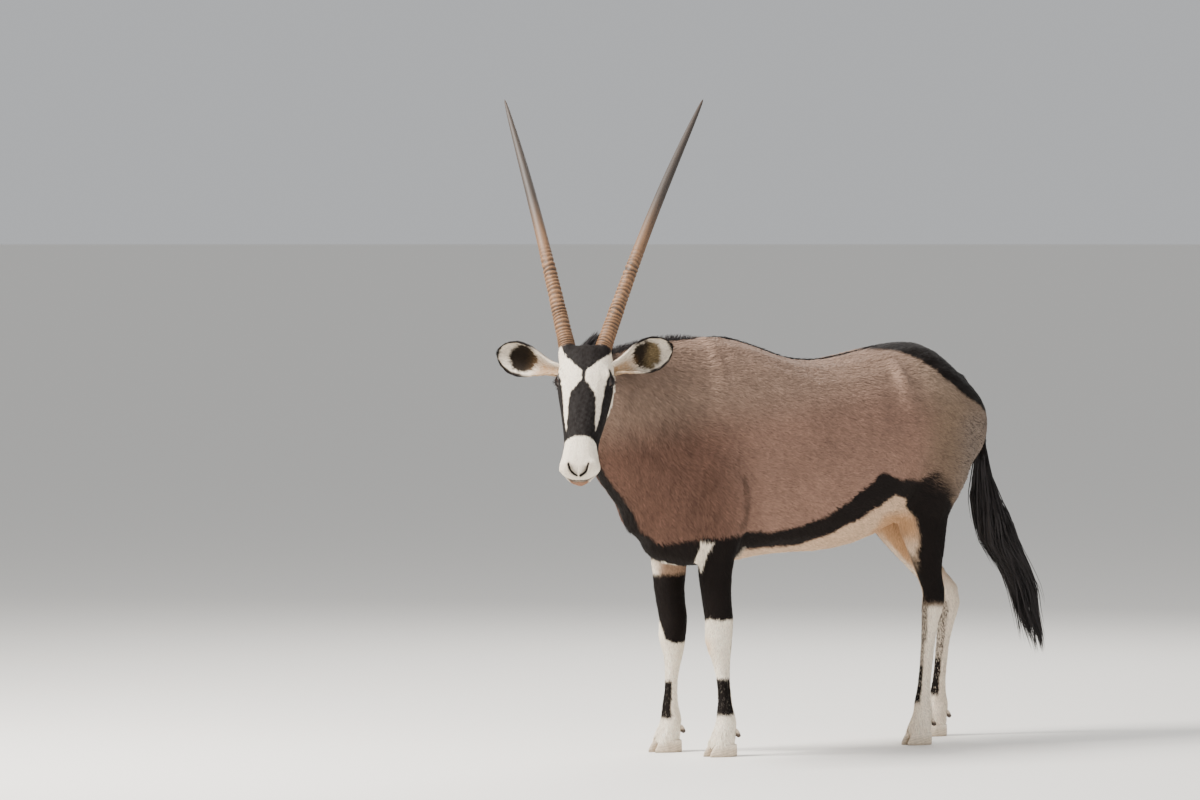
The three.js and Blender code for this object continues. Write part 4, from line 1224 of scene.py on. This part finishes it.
def tuft_sizes(own, region, rng):
    """Each tuft's length, width and lift by its place."""
    s = sizes()
    z = own[:, 2]
    length = np.full(len(own), s.coat_length)
    trunk = (region == BODY) | (region == NECK)
    length = length + (s.neck_length - s.coat_length) * rise(own[:, 0] - 0.3 * (z - 900), 280, 620) * trunk
    legs = (region == FORE) | (region == HIND)
    length = np.where(legs, s.leg_length + (s.coat_length - s.leg_length) * rise(z, 400, 620), length)
    length = np.where(legs, length + s.leg_length * 1.3 * (1 - rise(z, 52, 84)), length)
    head = region == HEAD
    a = to_head(own)[:, 0]
    face = s.face_length * (1 + 0.9 * (1 - rise(a, -20, 60)) - 0.35 * rise(a, 300, 340))
    length = np.where(head, face, length)
    length = np.where(region == EAR, s.face_length * 1.3, length)
    width = np.where(head | (region == EAR), 0.0013, np.where(legs, 0.0017, 0.0024))
    width = np.where(head & (a > 320), 0.0009, width)
    lift = np.where(head | (region == EAR), 0.12, 0.16)
    varied = rng.uniform(0.7, 1.25, len(own))
    return length * varied, width * rng.uniform(0.8, 1.2, len(own)), lift * rng.uniform(0.3, 1.7, len(own))


BARE_ROUND_EYE = 1.35  # times the eye's opening
BARE_SLIT_MM = 4.2  # from the middle of a nostril's slit or of the mouth
HOOF_TOP_MM = 39


def bare(own, region):
    """Tufts that would grow in an eye, a nostril or the mouth."""
    head = to_head(own)
    gone = np.zeros(len(own), bool)
    for side in (1, -1):
        value, offset = almond(head, side)
        gone |= (value < BARE_ROUND_EYE) & (np.linalg.norm(offset, axis=1) < EYE_RADIUS_MM + 10)
    gone |= nostril_place(head)[1] < BARE_SLIT_MM
    line, open_there = mouth_distance(head)
    gone |= (line < BARE_SLIT_MM) & (open_there > 0.4)
    gone &= region == HEAD
    return gone | (own[:, 2] < HOOF_TOP_MM)


def scatter(triangles, points, weights, count, rng):
    """Random places on triangles by area and weight: the triangle of each and its corner shares."""
    a, b, c = (points[triangles[:, k]] for k in range(3))
    area = np.linalg.norm(np.cross(b - a, c - a), axis=1) * weights
    chosen = rng.choice(len(triangles), count, p=area / area.sum())
    r, s = np.sqrt(rng.random(count)), rng.random(count)
    return chosen, np.stack([1 - r, r * (1 - s), r * s], 1)


def tuft_mesh(name, root, way, normal, size, tones, places, rng):
    """Flat tapered tufts of three triangles, bent down to the coat, as one mesh."""
    length, width, lift = (v[:, None] for v in size)
    side = np.cross(way, normal)
    middle = root + way * length * 0.48 + normal * length * lift * 0.62
    tip = root + way * length + normal * length * lift * 0.7
    tip = tip + side * length * rng.uniform(-0.12, 0.12, (len(root), 1))
    base = root - normal * 0.0006
    foot, waist = side * width * 0.4, side * width * 0.5
    rows = np.stack([base - foot, base + foot, middle - waist, middle + waist, tip], 1)
    tilt = rng.normal(0, 0.1, (len(root), 1, 3))
    lean = np.array([-0.28, 0.28, -0.28, 0.28, 0])[None, :, None] * side[:, None]
    normals = unit(normal[:, None] + tilt + lean - way[:, None] * 0.06)
    # each tuft is painted darker at its root and lighter at its tip: painted shade deep in the coat
    depth = np.array([0.78, 0.78, 1.0, 1.0, 1.1])[None, :, None]
    colours = tones[:, None] * depth
    patch = np.array([(-1, -1), (1, -1), (-1, 0.3), (1, 0.3), (0, 1)]) * 0.0015
    spots = places[:, None] + patch[None]
    first = (np.arange(len(root)) * 5)[:, None, None]
    faces = (np.array([(0, 1, 3), (0, 3, 2), (2, 3, 4)])[None] + first).reshape(-1, 3)
    flat = lambda v: v.reshape(-1, v.shape[-1])
    return mesh_from(name, flat(rows), faces, flat(colours), np.clip(flat(spots), 0, 1), flat(normals))


class GemsbokCoat(bpy.types.Operator):
    """Covers the skin with short tufts that lie along it, in its markings"""

    bl_idname = "gemsbok.coat"
    bl_label = "Coat"

    def execute(self, context):
        points, normals, region, way, triangles = skin_arrays()
        own = to_animal(points)
        side = region_side(own, region)
        middle = own[triangles].mean(1)
        lead = triangles[:, 0]
        for n, (name, (code, half, count)) in enumerate(COAT_PIECES.items()):
            rng = np.random.default_rng(100 + n)
            mine = region[lead] == code
            if code == BODY:
                mine |= region[lead] == DOCK
            if half:
                ahead = middle[:, 0] >= TRUNK_SPLIT
                mine &= (side[lead] == half) & (ahead if name.endswith("fore") else ~ahead)
            weights = mine * self.density(middle, code)
            chosen, shares = scatter(triangles, points, weights, count, rng)
            corners = triangles[chosen]
            blend = lambda v: (v[corners] * shares[..., None]).sum(1)
            root, normal = blend(points), unit(blend(normals))
            flow = unit(to_tangent(blend(way), normal) + rng.normal(0, 0.13, normal.shape))
            flow = to_tangent(flow, normal)
            place = to_animal(root)
            codes = region[corners[:, 0]]
            kept = ~bare(place, codes)
            root, normal, flow, place, codes = (v[kept] for v in (root, normal, flow, place, codes))
            speckle = rng.random(len(root))
            tones = coat_colour(place, normal, codes, speckle)
            tones = tones * rng.normal(1, 0.14, len(root)).clip(0.6, 1.45)[:, None]
            turn, length = unwrap(place, normal, codes, region_side(place, codes))
            spots = cell_places(turn, length, codes, region_side(place, codes))
            size = tuft_sizes(place, codes, rng)
            mesh = tuft_mesh(name, root, flow, normal, size, tones, spots, rng)
            add_object(name, mesh, material("short_hair"))
        return {"FINISHED"}

    def density(self, middle, code):
        """More tufts where they are small."""
        z = middle[:, 2]
        if code in (FORE, HIND):
            return 1 + 0.8 * rise(-z, -450, -350)
        if code == HEAD:
            return 1 + 1.2 * rise(to_head(middle)[:, 0], 280, 330)
        return np.ones(len(middle))


HORN_LENGTH_MM = 892
HORN_BASE_MM = 22.5
HORN_SPREAD = math.radians(15.3)
HORN_ROOT_MM = (-38, 51, -48)
HORN_RINGED = 0.42  # share of the horn that is ringed
HORN_RING_MM = 4.2  # height of a ring over its grooves
HORN_GROOVE_MM = 1.4
HORN_ROWS = 420
HORN_RINGED_ROWS = 330
HORN_SIDES = 36


def horn_line(side, t):
    """Places along a horn in the animal's frame."""
    out = math.sin(HORN_SPREAD) * HORN_LENGTH_MM * t - np.sin(math.pi * t) * 6
    back = math.cos(HORN_SPREAD) * HORN_LENGTH_MM * t
    a = HORN_ROOT_MM[0] - back
    l = side * (HORN_ROOT_MM[1] + out) + CROWN_SHIFT_MM
    d = HORN_ROOT_MM[2] + np.sin(math.pi * t) * 20
    return from_head(np.stack([a, l, d], 1))


def round_noise(centre, ring, size, seed):
    """Noise over a ring of places about each place of a line, one row for each."""
    places = np.repeat(centre, len(ring), 0) + np.tile(ring, (len(centre), 1))
    return wobble(places, size, seed).reshape(len(centre), len(ring))


class GemsbokHorns(bpy.types.Operator):
    """Makes the two long ringed horns"""

    bl_idname = "gemsbok.horns"
    bl_label = "Horns"

    def execute(self, context):
        ringed = np.linspace(-0.03, HORN_RINGED, HORN_RINGED_ROWS)
        smooth = np.linspace(HORN_RINGED, 1, HORN_ROWS - HORN_RINGED_ROWS + 1)[1:]
        t = np.concatenate([ringed, smooth])
        angle = round_turn(HORN_SIDES)
        for name, side in SIDES.items():
            centre = horn_line(side, t)
            _, across, up = frames(centre, OUT)
            waist = 1 - 0.07 * np.sin(math.pi * np.clip(t * 1.5, 0, 1))
            radius = HORN_BASE_MM * (1 - np.clip(t, 0, 1)) ** 0.5 * waist + 0.6
            share = np.clip(t / HORN_RINGED, 0, 1)
            phase = sizes().horn_rings * share**0.8 + 0.22 * np.sin(share * 23 + side)
            bent = 0.3 * round_noise(centre, circle(angle) * 24, 46, 43)
            phase = np.maximum(phase[:, None] + bent * rise(share, 0.01, 0.05)[:, None], 0)
            saw = phase % 1
            # each ring rises slowly and drops sharply towards the tip, strongest in front
            ring = np.where(saw < 0.72, rise(saw, 0.05, 0.72), 1 - rise(saw, 0.72, 0.98))
            uneven = 0.78 + 0.22 * np.sin(phase * 0.9) * np.sin(phase * 0.37)
            fade = (1 - rise(share, 0.66, 1))[:, None] * uneven
            front = 0.7 + 0.3 * np.cos(angle - math.pi / 2)
            height = ring * fade * HORN_RING_MM * front[None]
            rough = round_noise(centre, circle(angle, 1) * 14, 9, 41)
            height = height + rough * 0.35 * (0.4 + fade)
            twist = angle[None] + 0.04 * np.sin(phase[:, :1])
            reach = radius[:, None] - HORN_GROOVE_MM * fade + height
            ring_points = centre[:, None] + across[:, None] * (np.cos(twist) * reach)[..., None]
            ring_points = ring_points + up[:, None] * (np.sin(twist) * reach * 0.96)[..., None]
            tip = horn_line(side, np.array([1.004]))
            points = np.concatenate([ring_points.reshape(-1, 3), tip])
            tone = mix(colour("horn_base")[None], colour("horn_tip"), rise(t, 0.22, 0.62))
            # painted light and shade on the rings: light on each ridge, dark in each groove
            painted_ridge_light = rise(saw, 0.2, 0.6) * (1 - rise(saw, 0.86, 1.0))
            tone = tone[:, None] * (0.2 + 0.92 * (1 - fade + painted_ridge_light * fade))[..., None]
            line = np.stack([t * 300, t * 0, t * 0], 1)
            streak = 1 + 0.16 * round_noise(line, circle(angle) * 40, 16, 42)
            tone = tone.reshape(-1, 3) * streak.reshape(-1, 1)
            dark = mix(tone, tint("#3a2a20"), np.repeat(rise(t, 0.93, 1.0) * 0.5, HORN_SIDES))
            tones = np.concatenate([dark, dark[-1:]])
            faces = grid_faces(HORN_ROWS, HORN_SIDES)
            mesh = mesh_from("horn_" + name, to_world(points), faces, tones)
            edited(mesh, self.close_tip)
            mesh.shade_smooth()
            add_object("horn_" + name + "_fine", mesh, material("horn_keratin"), ["horn_" + name])
        return {"FINISHED"}

    def close_tip(self, made):
        """Joins the last ring to the tip."""
        made.verts.ensure_lookup_table()
        last = (HORN_ROWS - 1) * HORN_SIDES
        for k in range(HORN_SIDES):
            ends = last + k, last + (k + 1) % HORN_SIDES, -1
            made.faces.new([made.verts[n] for n in ends])
        bmesh.ops.recalc_face_normals(made, faces=made.faces)


BALL_ROWS, BALL_SIDES = 40, 64
LID_PLACES, LID_SIDES = 72, 10
LID_STAND_OFF_MM = 1.7
LASHES = 60


class GemsbokEyes(bpy.types.Operator):
    """Makes the eyes with their lids and lashes"""

    bl_idname = "gemsbok.eyes"
    bl_label = "Eyes"

    def execute(self, context):
        for name, side in SIDES.items():
            self.eyeball(name, side)
            self.lids(name, side)
        return {"FINISHED"}

    def eyeball(self, name, side):
        """A ball with a low cornea, dark iris and level oval pupil."""
        way, line, high = eye_axes(side)
        polar = np.linspace(0.001, math.pi, BALL_ROWS)
        angle = round_turn(BALL_SIDES)
        pp, aa = (v.ravel() for v in np.meshgrid(polar, angle, indexing="ij"))
        bulge = 1 + 0.07 * np.exp(-((pp / 0.55) ** 4))
        across, up = np.sin(pp) * np.cos(aa), np.sin(pp) * np.sin(aa)
        ball = (line * across[:, None] + high * up[:, None] + way * np.cos(pp)[:, None]) * bulge[:, None]
        points = to_world(from_head(EYE_MM * [1, side, 1] + ball * (EYE_RADIUS_MM - 0.5)))
        pupil = 1 - rise(np.hypot(across / 0.42, up / 0.2), 0.85, 1.1)
        iris = 1 - rise(np.hypot(across, up), 0.66, 0.74)
        spokes = 0.8 + 0.2 * np.sin(aa * 37) * np.sin(aa * 11 + 2)
        tone = tint("#1d130d") * np.ones((len(pp), 1))
        tone = mix(tone, tint("#33190b") * spokes[:, None], iris)
        tone = mix(tone, tint("#070505"), pupil)
        mesh = mesh_from("eye", points, grid_faces(BALL_ROWS, BALL_SIDES)[:, ::-1], tone)
        add_object("eyeball_" + name, mesh, material("wet_eye"), ["eye_" + name])

    def lids(self, name, side):
        """Dark rims along the opening, and lashes on the upper one."""
        way, line, high = eye_axes(side)
        half_long, half_high = OPENING_HALF_MM
        turn = round_turn(LID_PLACES)
        p = np.cos(turn) * half_long * 1.02
        q = np.sign(np.sin(turn)) * np.abs(np.sin(turn)) ** 1.25 * half_high * 0.9
        radius = EYE_RADIUS_MM + LID_STAND_OFF_MM
        out = np.sqrt(np.maximum(radius**2 - p**2 * 0.9 - q**2, 40))
        centre = EYE_MM * [1, side, 1]
        rim = centre + line * p[:, None] + high * q[:, None] + way * out[:, None]
        ahead = unit(np.roll(rim, -1, 0) - np.roll(rim, 1, 0))
        outward = unit(rim - centre)
        across = unit(np.cross(ahead, outward))
        top = 1 if high @ np.array([-1.0, 0, 0.3]) > 0 else -1
        upper = np.clip(np.sin(turn) * top, 0, 1)
        thick = 2.1 + 0.9 * upper
        around = round_turn(LID_SIDES)
        ring = across[:, None] * (np.cos(around)[None] * thick[:, None] * 1.25)[..., None]
        ring = ring + outward[:, None] * (np.sin(around)[None] * thick[:, None] * 0.9)[..., None]
        points = (rim[:, None] + ring).reshape(-1, 3)
        faces = grid_faces(LID_PLACES + 1, LID_SIDES) % (LID_PLACES * LID_SIDES)
        tone = tint("#1d1512") * (1 + 0.2 * wobble(points, 5, 51))[:, None]
        mesh = mesh_from("lids_" + name, to_world(from_head(points)), faces, tone)
        add_object("lids_" + name, mesh, material("bare_skin"))
        rng = np.random.default_rng(60)
        number = LASHES
        at = rng.uniform(0.12, 0.88, number) * math.pi * top
        spot = np.stack([np.cos(at) * half_long * 1.05, np.sin(at) * half_high * 1.0], 1)
        outs = np.sqrt(np.maximum(radius**2 - (spot**2).sum(1) * 0.9, 40)) + 1
        root = centre + line * spot[:, :1] + high * spot[:, 1:] + way * outs[:, None]
        reach = rng.uniform(7, 12, (number, 1))
        aim = way * 0.8 + high * top * 0.55 + line * (spot[:, :1] / half_long) * 0.5
        aim = unit(aim + rng.normal(0, 0.08, (number, 3)))
        drop = -high * top
        steps = np.linspace(0, 1, 5)
        paths = root[:, None] + aim[:, None] * (steps[None, :, None] * reach[:, None])
        paths = paths + drop * (steps**2)[None, :, None] * 2.4
        add_strands("lashes_" + name, to_world(from_head(paths)), 0.0007, linear("#120d0a"), rng)


def add_strands(name, paths, width, tone, rng, replaced=(), spread=0.18):
    """Flat tapered strands along paths (strand, step, place), as one mesh with its own map."""
    count, steps = paths.shape[:2]
    ahead = unit(np.gradient(paths, axis=1))
    facing = unit(rng.normal(size=(count, 1, 3)))
    side = unit(np.cross(ahead, facing))
    t = np.linspace(0, 1, steps)
    taper = np.clip((1 - t) / 0.75, 0, 1) ** 0.7 * (0.6 + 0.4 * np.clip(t / 0.2, 0, 1))
    half = (np.asarray(width).reshape(-1, 1, 1) * taper[None, :, None] + 0.00005) * 0.5
    points = np.stack([paths - side * half, paths + side * half], 2).reshape(-1, 3)
    cell = np.arange(count)[:, None] * steps * 2
    k = np.arange(steps - 1)[None] * 2
    a = (cell + k).ravel()
    faces = np.stack([a, a + 1, a + 3, a + 2], 1)
    # besides random differences, each strand is painted darker at its root and lighter at its tip: painted
    # shade towards the root
    shade = rng.normal(1, spread, (count, 1, 1, 1)).clip(0.5, 1.7) * (0.85 + 0.4 * t)[None, :, None, None]
    tones = (np.asarray(tone) * shade * np.ones((count, steps, 2, 1))).reshape(-1, 3)
    columns = math.ceil(math.sqrt(count))
    spot = np.stack([np.arange(count) % columns, np.arange(count) // columns], 1) / columns
    patch = np.array([(0.1, 0.1), (0.9, 0.1)]) / columns
    up = t[None, :, None, None] * np.array([0, 0.8]) / columns
    uvs = (spot[:, None, None] + patch[None, None] + up).reshape(-1, 2)
    normal = np.cross(side, ahead)
    lean = np.array([-0.5, 0.5])[None, None, :, None] * side[:, :, None]
    normals = unit(normal[:, :, None] + lean).reshape(-1, 3)
    mesh = mesh_from(name, points, faces, tones, uvs, normals)
    return add_object(name, mesh, material("long_hair"), replaced)


BRUSH_MM = [
    # z, x, y and radius of the tail's brush, from its tip up
    (236, -824, 42, 29), (292, -812, 40, 36), (362, -798, 35, 43), (431, -786, 30, 50),
    (501, -756, 25, 53), (572, -711, 20, 62), (642, -686, 15, 60), (712, -665, 12, 50),
    (781, -651, 8, 30), (880, -650, 5, 15), (960, -632, 3, 14),
]  # fmt: skip


BRUSH_STEPS = 12
BRUSH_CLUMPS = 46


class GemsbokTail(bpy.types.Operator):
    """Hangs the brush of long hair on the tail"""

    bl_idname = "gemsbok.tail"
    bl_label = "Tail brush"

    def execute(self, context):
        rng = np.random.default_rng(71)
        count = sizes().tail_hairs
        steps, clumps = BRUSH_STEPS, BRUSH_CLUMPS
        clump = rng.integers(0, clumps, count)
        clump_turn = rng.uniform(0, 2 * math.pi, clumps)
        clump_reach = rng.uniform(0.5, 1.0, clumps)
        clump_from = rng.uniform(600, 925, clumps)
        clump_long = rng.uniform(250, 400, clumps)
        start = clump_from[clump] + rng.normal(0, 18, count)
        long = clump_long[clump] * rng.uniform(0.8, 1.15, count)
        end = np.maximum(start - long, 238 + rng.uniform(0, 40, count))
        t = np.linspace(0, 1, steps)
        z = start[:, None] + (end - start)[:, None] * t[None]
        own_turn = clump_turn[clump][:, None]
        turn = own_turn + rng.normal(0, 0.3, (count, 1)) + 0.25 * np.sin(t * 5 + own_turn)
        stray = np.where(rng.random((count, 1)) < 0.07, rng.uniform(1.05, 1.6, (count, 1)), 1.0)
        reach = clump_reach[clump][:, None] * rng.uniform(0.8, 1.12, (count, 1)) * rise(t, -0.05, 0.35)[None]
        reach = reach * (1 + (stray - 1) * t[None])
        radius = along_keys(z, BRUSH_MM, 3)
        x = along_keys(z, BRUSH_MM, 1) + np.cos(turn) * radius * reach
        y = along_keys(z, BRUSH_MM, 2) + np.sin(turn) * radius * reach * 0.8
        curl = 3 * np.sin(t[None] * 7 + rng.uniform(0, 6, (count, 1))) * t[None]
        fork = np.where(clump % 2, 9, -9)[:, None] * (1 - rise(z, 250, 400))
        paths = to_world(np.stack([x + curl + fork, y + curl * 0.6 - fork * 0.6, z], 2))
        width = rng.uniform(0.0028, 0.0055, count)
        add_strands("tail_brush", paths, width, linear("#0c0a0a"), rng, ["tail"], 0.3)
        return {"FINISHED"}


CREST_MM = [
    # x, y and z along the top of the neck, from the withers to the poll
    (330, 0, 1190), (390, 0, 1187), (500, 3, 1189), (615, 14, 1178), (725, 38, 1161), (820, 74, 1148),
    (872, 98, 1140),
]  # fmt: skip
POLL_HAIRS = 1100
POLL_TUFT_MM = np.array([-42.0, 2.0, -58.0])  # in the head's frame
LINE_ROWS = 60  # rows of the smooth lines that crest and back hair grow from
# x and z along the spine
BACK_MM = [(-235, 1161), (-110, 1138), (0, 1124), (110, 1131), (220, 1163), (330, 1190), (400, 1191)]


class GemsbokCrest(bpy.types.Operator):
    """Sets short dark bristles along the crest of the neck and behind the horns"""

    bl_idname = "gemsbok.crest"
    bl_label = "Crest"

    def execute(self, context):
        rng = np.random.default_rng(81)
        self.back_line(rng)
        count = sizes().crest_hairs
        rows = smooth_keys(CREST_MM, LINE_ROWS)
        share = rng.random(count) ** 0.85 * 0.87
        even = np.linspace(0, 1, LINE_ROWS)
        place = np.stack([np.interp(share, even, column) for column in rows.T], 1)
        ahead = unit(np.array([0.93, 0.2, -0.1]))
        across = rng.normal(0, 6.5, count)
        place = place + np.array([-0.25, 1, 0]) * across[:, None]
        place[:, 2] -= 7 + np.abs(across) * 0.35
        long = 23 * rng.uniform(0.45, 1.1, count) * (0.42 + 0.58 * rise(share, 0.05, 0.45))
        lean = rng.uniform(0.25, 0.8, count)
        steps = np.linspace(0, 1, 5)
        up = np.array([0.1, 0, 1.0]) + across[:, None] * [0, 0.03, 0]
        paths = place[:, None] + unit(up)[:, None] * (steps[None, :, None] * long[:, None, None])
        paths = paths - ahead * (steps**2)[None, :, None] * (long * lean)[:, None, None]
        add_strands("crest", to_world(paths), 0.0015, linear("#1d130e"), rng, ["mane"], 0.35)
        # a small brown tuft stands between and behind the horns
        number = POLL_HAIRS
        root = POLL_TUFT_MM + rng.normal(0, 1, (number, 3)) * [4, 9, 7]
        aim = unit(np.array([-1.0, 0.72, 0.1]) + rng.normal(0, 0.07, (number, 3)))
        reach = rng.uniform(28, 56, (number, 1, 1))
        paths = root[:, None] + aim[:, None] * steps[None, :, None] * reach
        paths = to_world(from_head(paths))
        # the tuft is painted much lighter than its own brown: painted light, so that it renders brown
        add_strands("poll_tuft", paths, 0.0018, linear("#bb8b66"), rng, (), 0.22)
        return {"FINISHED"}

    def back_line(self, rng):
        """Short dark hair lying back along the spine, from the withers to the rump."""
        count = sizes().crest_hairs
        rows = smooth_keys(BACK_MM, LINE_ROWS)
        share = rng.random(count)
        even = np.linspace(0, 1, LINE_ROWS)
        x, z = (np.interp(share, even, column) for column in rows.T)
        y = rng.normal(0, 4.5, count)
        root = np.stack([x, y, z - 5 - 0.02 * y**2], 1)
        long = rng.uniform(13, 24, count)[:, None, None]
        steps = np.linspace(0, 1, 4)[None, :, None]
        aim = unit(np.array([-0.8, 0, 0.62]) + rng.normal(0, 0.12, (count, 3)))
        paths = root[:, None] + aim[:, None] * steps * long - np.array([0.35, 0, 0.45]) * steps**2 * long
        add_strands("back_line", to_world(paths), 0.0017, linear("#1d130e"), rng, (), 0.3)


class GemsbokHooves(bpy.types.Operator):
    """Makes the hooves and dew claws with growth rings"""

    bl_idname = "gemsbok.hooves"
    bl_label = "Hooves"

    def execute(self, context):
        for node in sorted(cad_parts):
            if not node.startswith(("hoof_", "dewclaw_")):
                continue
            grain = 0.0024 if node.startswith("hoof_") else 0.0017
            mesh = remeshed(grown_part(node, 0.0), grain)
            points = relax(read_points(mesh), read_edges(mesh), 0.8, 5)
            set_points(mesh, points)
            normals = read_normals(mesh)
            own = to_animal(points)
            low = own[:, 2].min()
            slope = own[:, 2] + 0.22 * own[:, 0]
            rings = np.sin(slope / 1.15 + 0.8 * wobble(own, 30, 91))
            wall = rise(own[:, 2], low + 2, low + 8) * (1 - np.abs(normals[:, 2]) ** 3)
            points = points + normals * (rings * 0.22 * wall)[:, None] * MM
            points[:, 2] = np.maximum(points[:, 2], low * MM + SHIFT[2])
            set_points(mesh, points)
            tone = colour("hoof") * (1 + 0.14 * rings * wall + 0.1 * wobble(own, 12, 92))[:, None]
            tone = mix(tone, tint("#6f5f50"), (1 - rise(own[:, 2], low, low + 10)) * 0.4)
            tone = mix(tone, tint("#e2d4c0"), rise(own[:, 2], low + 16, low + 34) * 0.7)
            if not node.startswith("hoof_"):
                tone = mix(tint("#41342b")[None], tint("#cdbba4"), rise(own[:, 2], low + 8, low + 18))
            paint(mesh, tone)
            mesh.shade_smooth()
            add_object(node + "_fine", mesh, material("hoof_keratin"), [node])
        return {"FINISHED"}


# Stage: floor, light and camera


VIEW_TURN = math.radians(38)
CAMERA_AT_MM = (430, 115)
CAMERA_ASIDE = 0.341
CAMERA_AWAY = 20.0
CAMERA_HEIGHT = 1.54
CAMERA_DROP = math.radians(1.505)
CAMERA_LENS = 211.2
FLOOR_RADIUS = 350.0
LIGHTS = [
    # name, place to the right, near and high in metres, size, watts and colour
    ("key", -3.6, 1.6, 3.6, 1.8, 860, (1.0, 0.965, 0.92)),
    ("fill", 3.2, 4.2, 1.6, 4.0, 120, (0.95, 0.97, 1.0)),
    ("back", 1.0, -4.4, 3.2, 3.0, 200, (1.0, 0.98, 0.95)),
]


def set_turned(item, place, axes):
    """Puts a light or camera in the scene at a place, with its own axes along the ones given."""
    turned = Matrix(np.array(axes).T.tolist()).to_4x4()
    item.matrix_world = Matrix.Translation(place) @ turned
    bpy.context.scene.collection.objects.link(item)


def area_light(name, place, target, size, power, hue):
    """A soft square light turned to a target."""
    data = bpy.data.lights.new(name, "AREA")
    data.shape = "SQUARE"
    data.size = size
    data.energy = power
    data.color = hue
    light = bpy.data.objects.new(name, data)
    back = unit(np.array(place, float) - np.array(target, float))
    side = unit(np.cross((0, 0, 1), back))
    set_turned(light, place, (side, np.cross(back, side), back))


class GemsbokStage(bpy.types.Operator):
    """Sets the pale floor, the soft light and the camera"""

    bl_idname = "gemsbok.stage"
    bl_label = "Stage"

    def execute(self, context):
        right = np.array([-math.cos(VIEW_TURN), math.sin(VIEW_TURN), 0])
        near = np.array([math.sin(VIEW_TURN), math.cos(VIEW_TURN), 0])
        edge = circle(round_turn(96)) * FLOOR_RADIUS
        mesh = mesh_from("floor", edge, np.arange(len(edge))[None])
        floor = bpy.data.objects.new("floor", mesh)
        plain = bpy.data.materials.new("pale_floor")
        plain.use_nodes = True
        shader = plain.node_tree.nodes["Principled BSDF"]
        shader.inputs["Base Color"].default_value = (*linear("#efece6"), 1)
        shader.inputs["Roughness"].default_value = 0.9
        mesh.materials.append(plain)
        context.scene.collection.objects.link(floor)
        world = bpy.data.worlds.new("studio")
        world.use_nodes = True
        world.node_tree.nodes["Background"].inputs["Color"].default_value = (*linear("#e9ebee"), 1)
        world.node_tree.nodes["Background"].inputs["Strength"].default_value = 0.64
        context.scene.world = world
        middle = np.array([0, 0, 0.9])
        for name, aside, ahead, high, size, power, hue in LIGHTS:
            place = middle + right * aside + near * ahead + [0, 0, high]
            area_light(name, tuple(place), middle, size, power, hue)
        data = bpy.data.cameras.new("camera")
        data.lens = CAMERA_LENS
        data.sensor_width = 36
        data.clip_end = 400
        camera = bpy.data.objects.new("camera", data)
        start = np.array([CAMERA_AT_MM[0] * MM, CAMERA_AT_MM[1] * MM, 0]) + SHIFT * [1, 1, 0]
        place = start - right * CAMERA_ASIDE + near * CAMERA_AWAY
        place[2] = CAMERA_HEIGHT
        look = -near * math.cos(CAMERA_DROP) - np.array([0, 0, math.sin(CAMERA_DROP)])
        set_turned(camera, place, (right, np.cross(-look, right), -look))
        context.scene.camera = camera
        return {"FINISHED"}


class GemsbokPanel(bpy.types.Panel):
    """Lists the sizes, the colours and the steps"""

    bl_idname = "VIEW3D_PT_gemsbok"
    bl_label = "Gemsbok"
    bl_space_type = "VIEW_3D"
    bl_region_type = "UI"
    bl_category = "Gemsbok"

    def draw(self, context):
        for group in (context.scene.gemsbok_sizes, context.scene.gemsbok_colours):
            box = self.layout.box()
            for key in group.bl_rna.properties.keys():
                if key not in ("rna_type", "name"):
                    box.prop(group, key)
        for operator in STEPS:
            self.layout.operator(operator.bl_idname)


STEPS = (
    GemsbokStage,
    GemsbokSkin,
    GemsbokCoat,
    GemsbokHorns,
    GemsbokEyes,
    GemsbokHooves,
    GemsbokCrest,
    GemsbokTail,
)
CLASSES = (GemsbokSizes, GemsbokColours, *STEPS, GemsbokPanel)


def register():
    """Registers the classes and the scene's settings."""
    for item in CLASSES:
        bpy.utils.register_class(item)
    bpy.types.Scene.gemsbok_sizes = PointerProperty(type=GemsbokSizes)
    bpy.types.Scene.gemsbok_colours = PointerProperty(type=GemsbokColours)


def unregister():
    """Takes them away again."""
    del bpy.types.Scene.gemsbok_colours
    del bpy.types.Scene.gemsbok_sizes
    for item in reversed(CLASSES):
        bpy.utils.unregister_class(item)


def main():
    """Runs each step in order."""
    register()
    bpy.ops.gemsbok.stage()
    bpy.ops.gemsbok.skin()
    bpy.ops.gemsbok.coat()
    bpy.ops.gemsbok.horns()
    bpy.ops.gemsbok.eyes()
    bpy.ops.gemsbok.hooves()
    bpy.ops.gemsbok.crest()
    bpy.ops.gemsbok.tail()


if __name__ == "__main__":
    main()
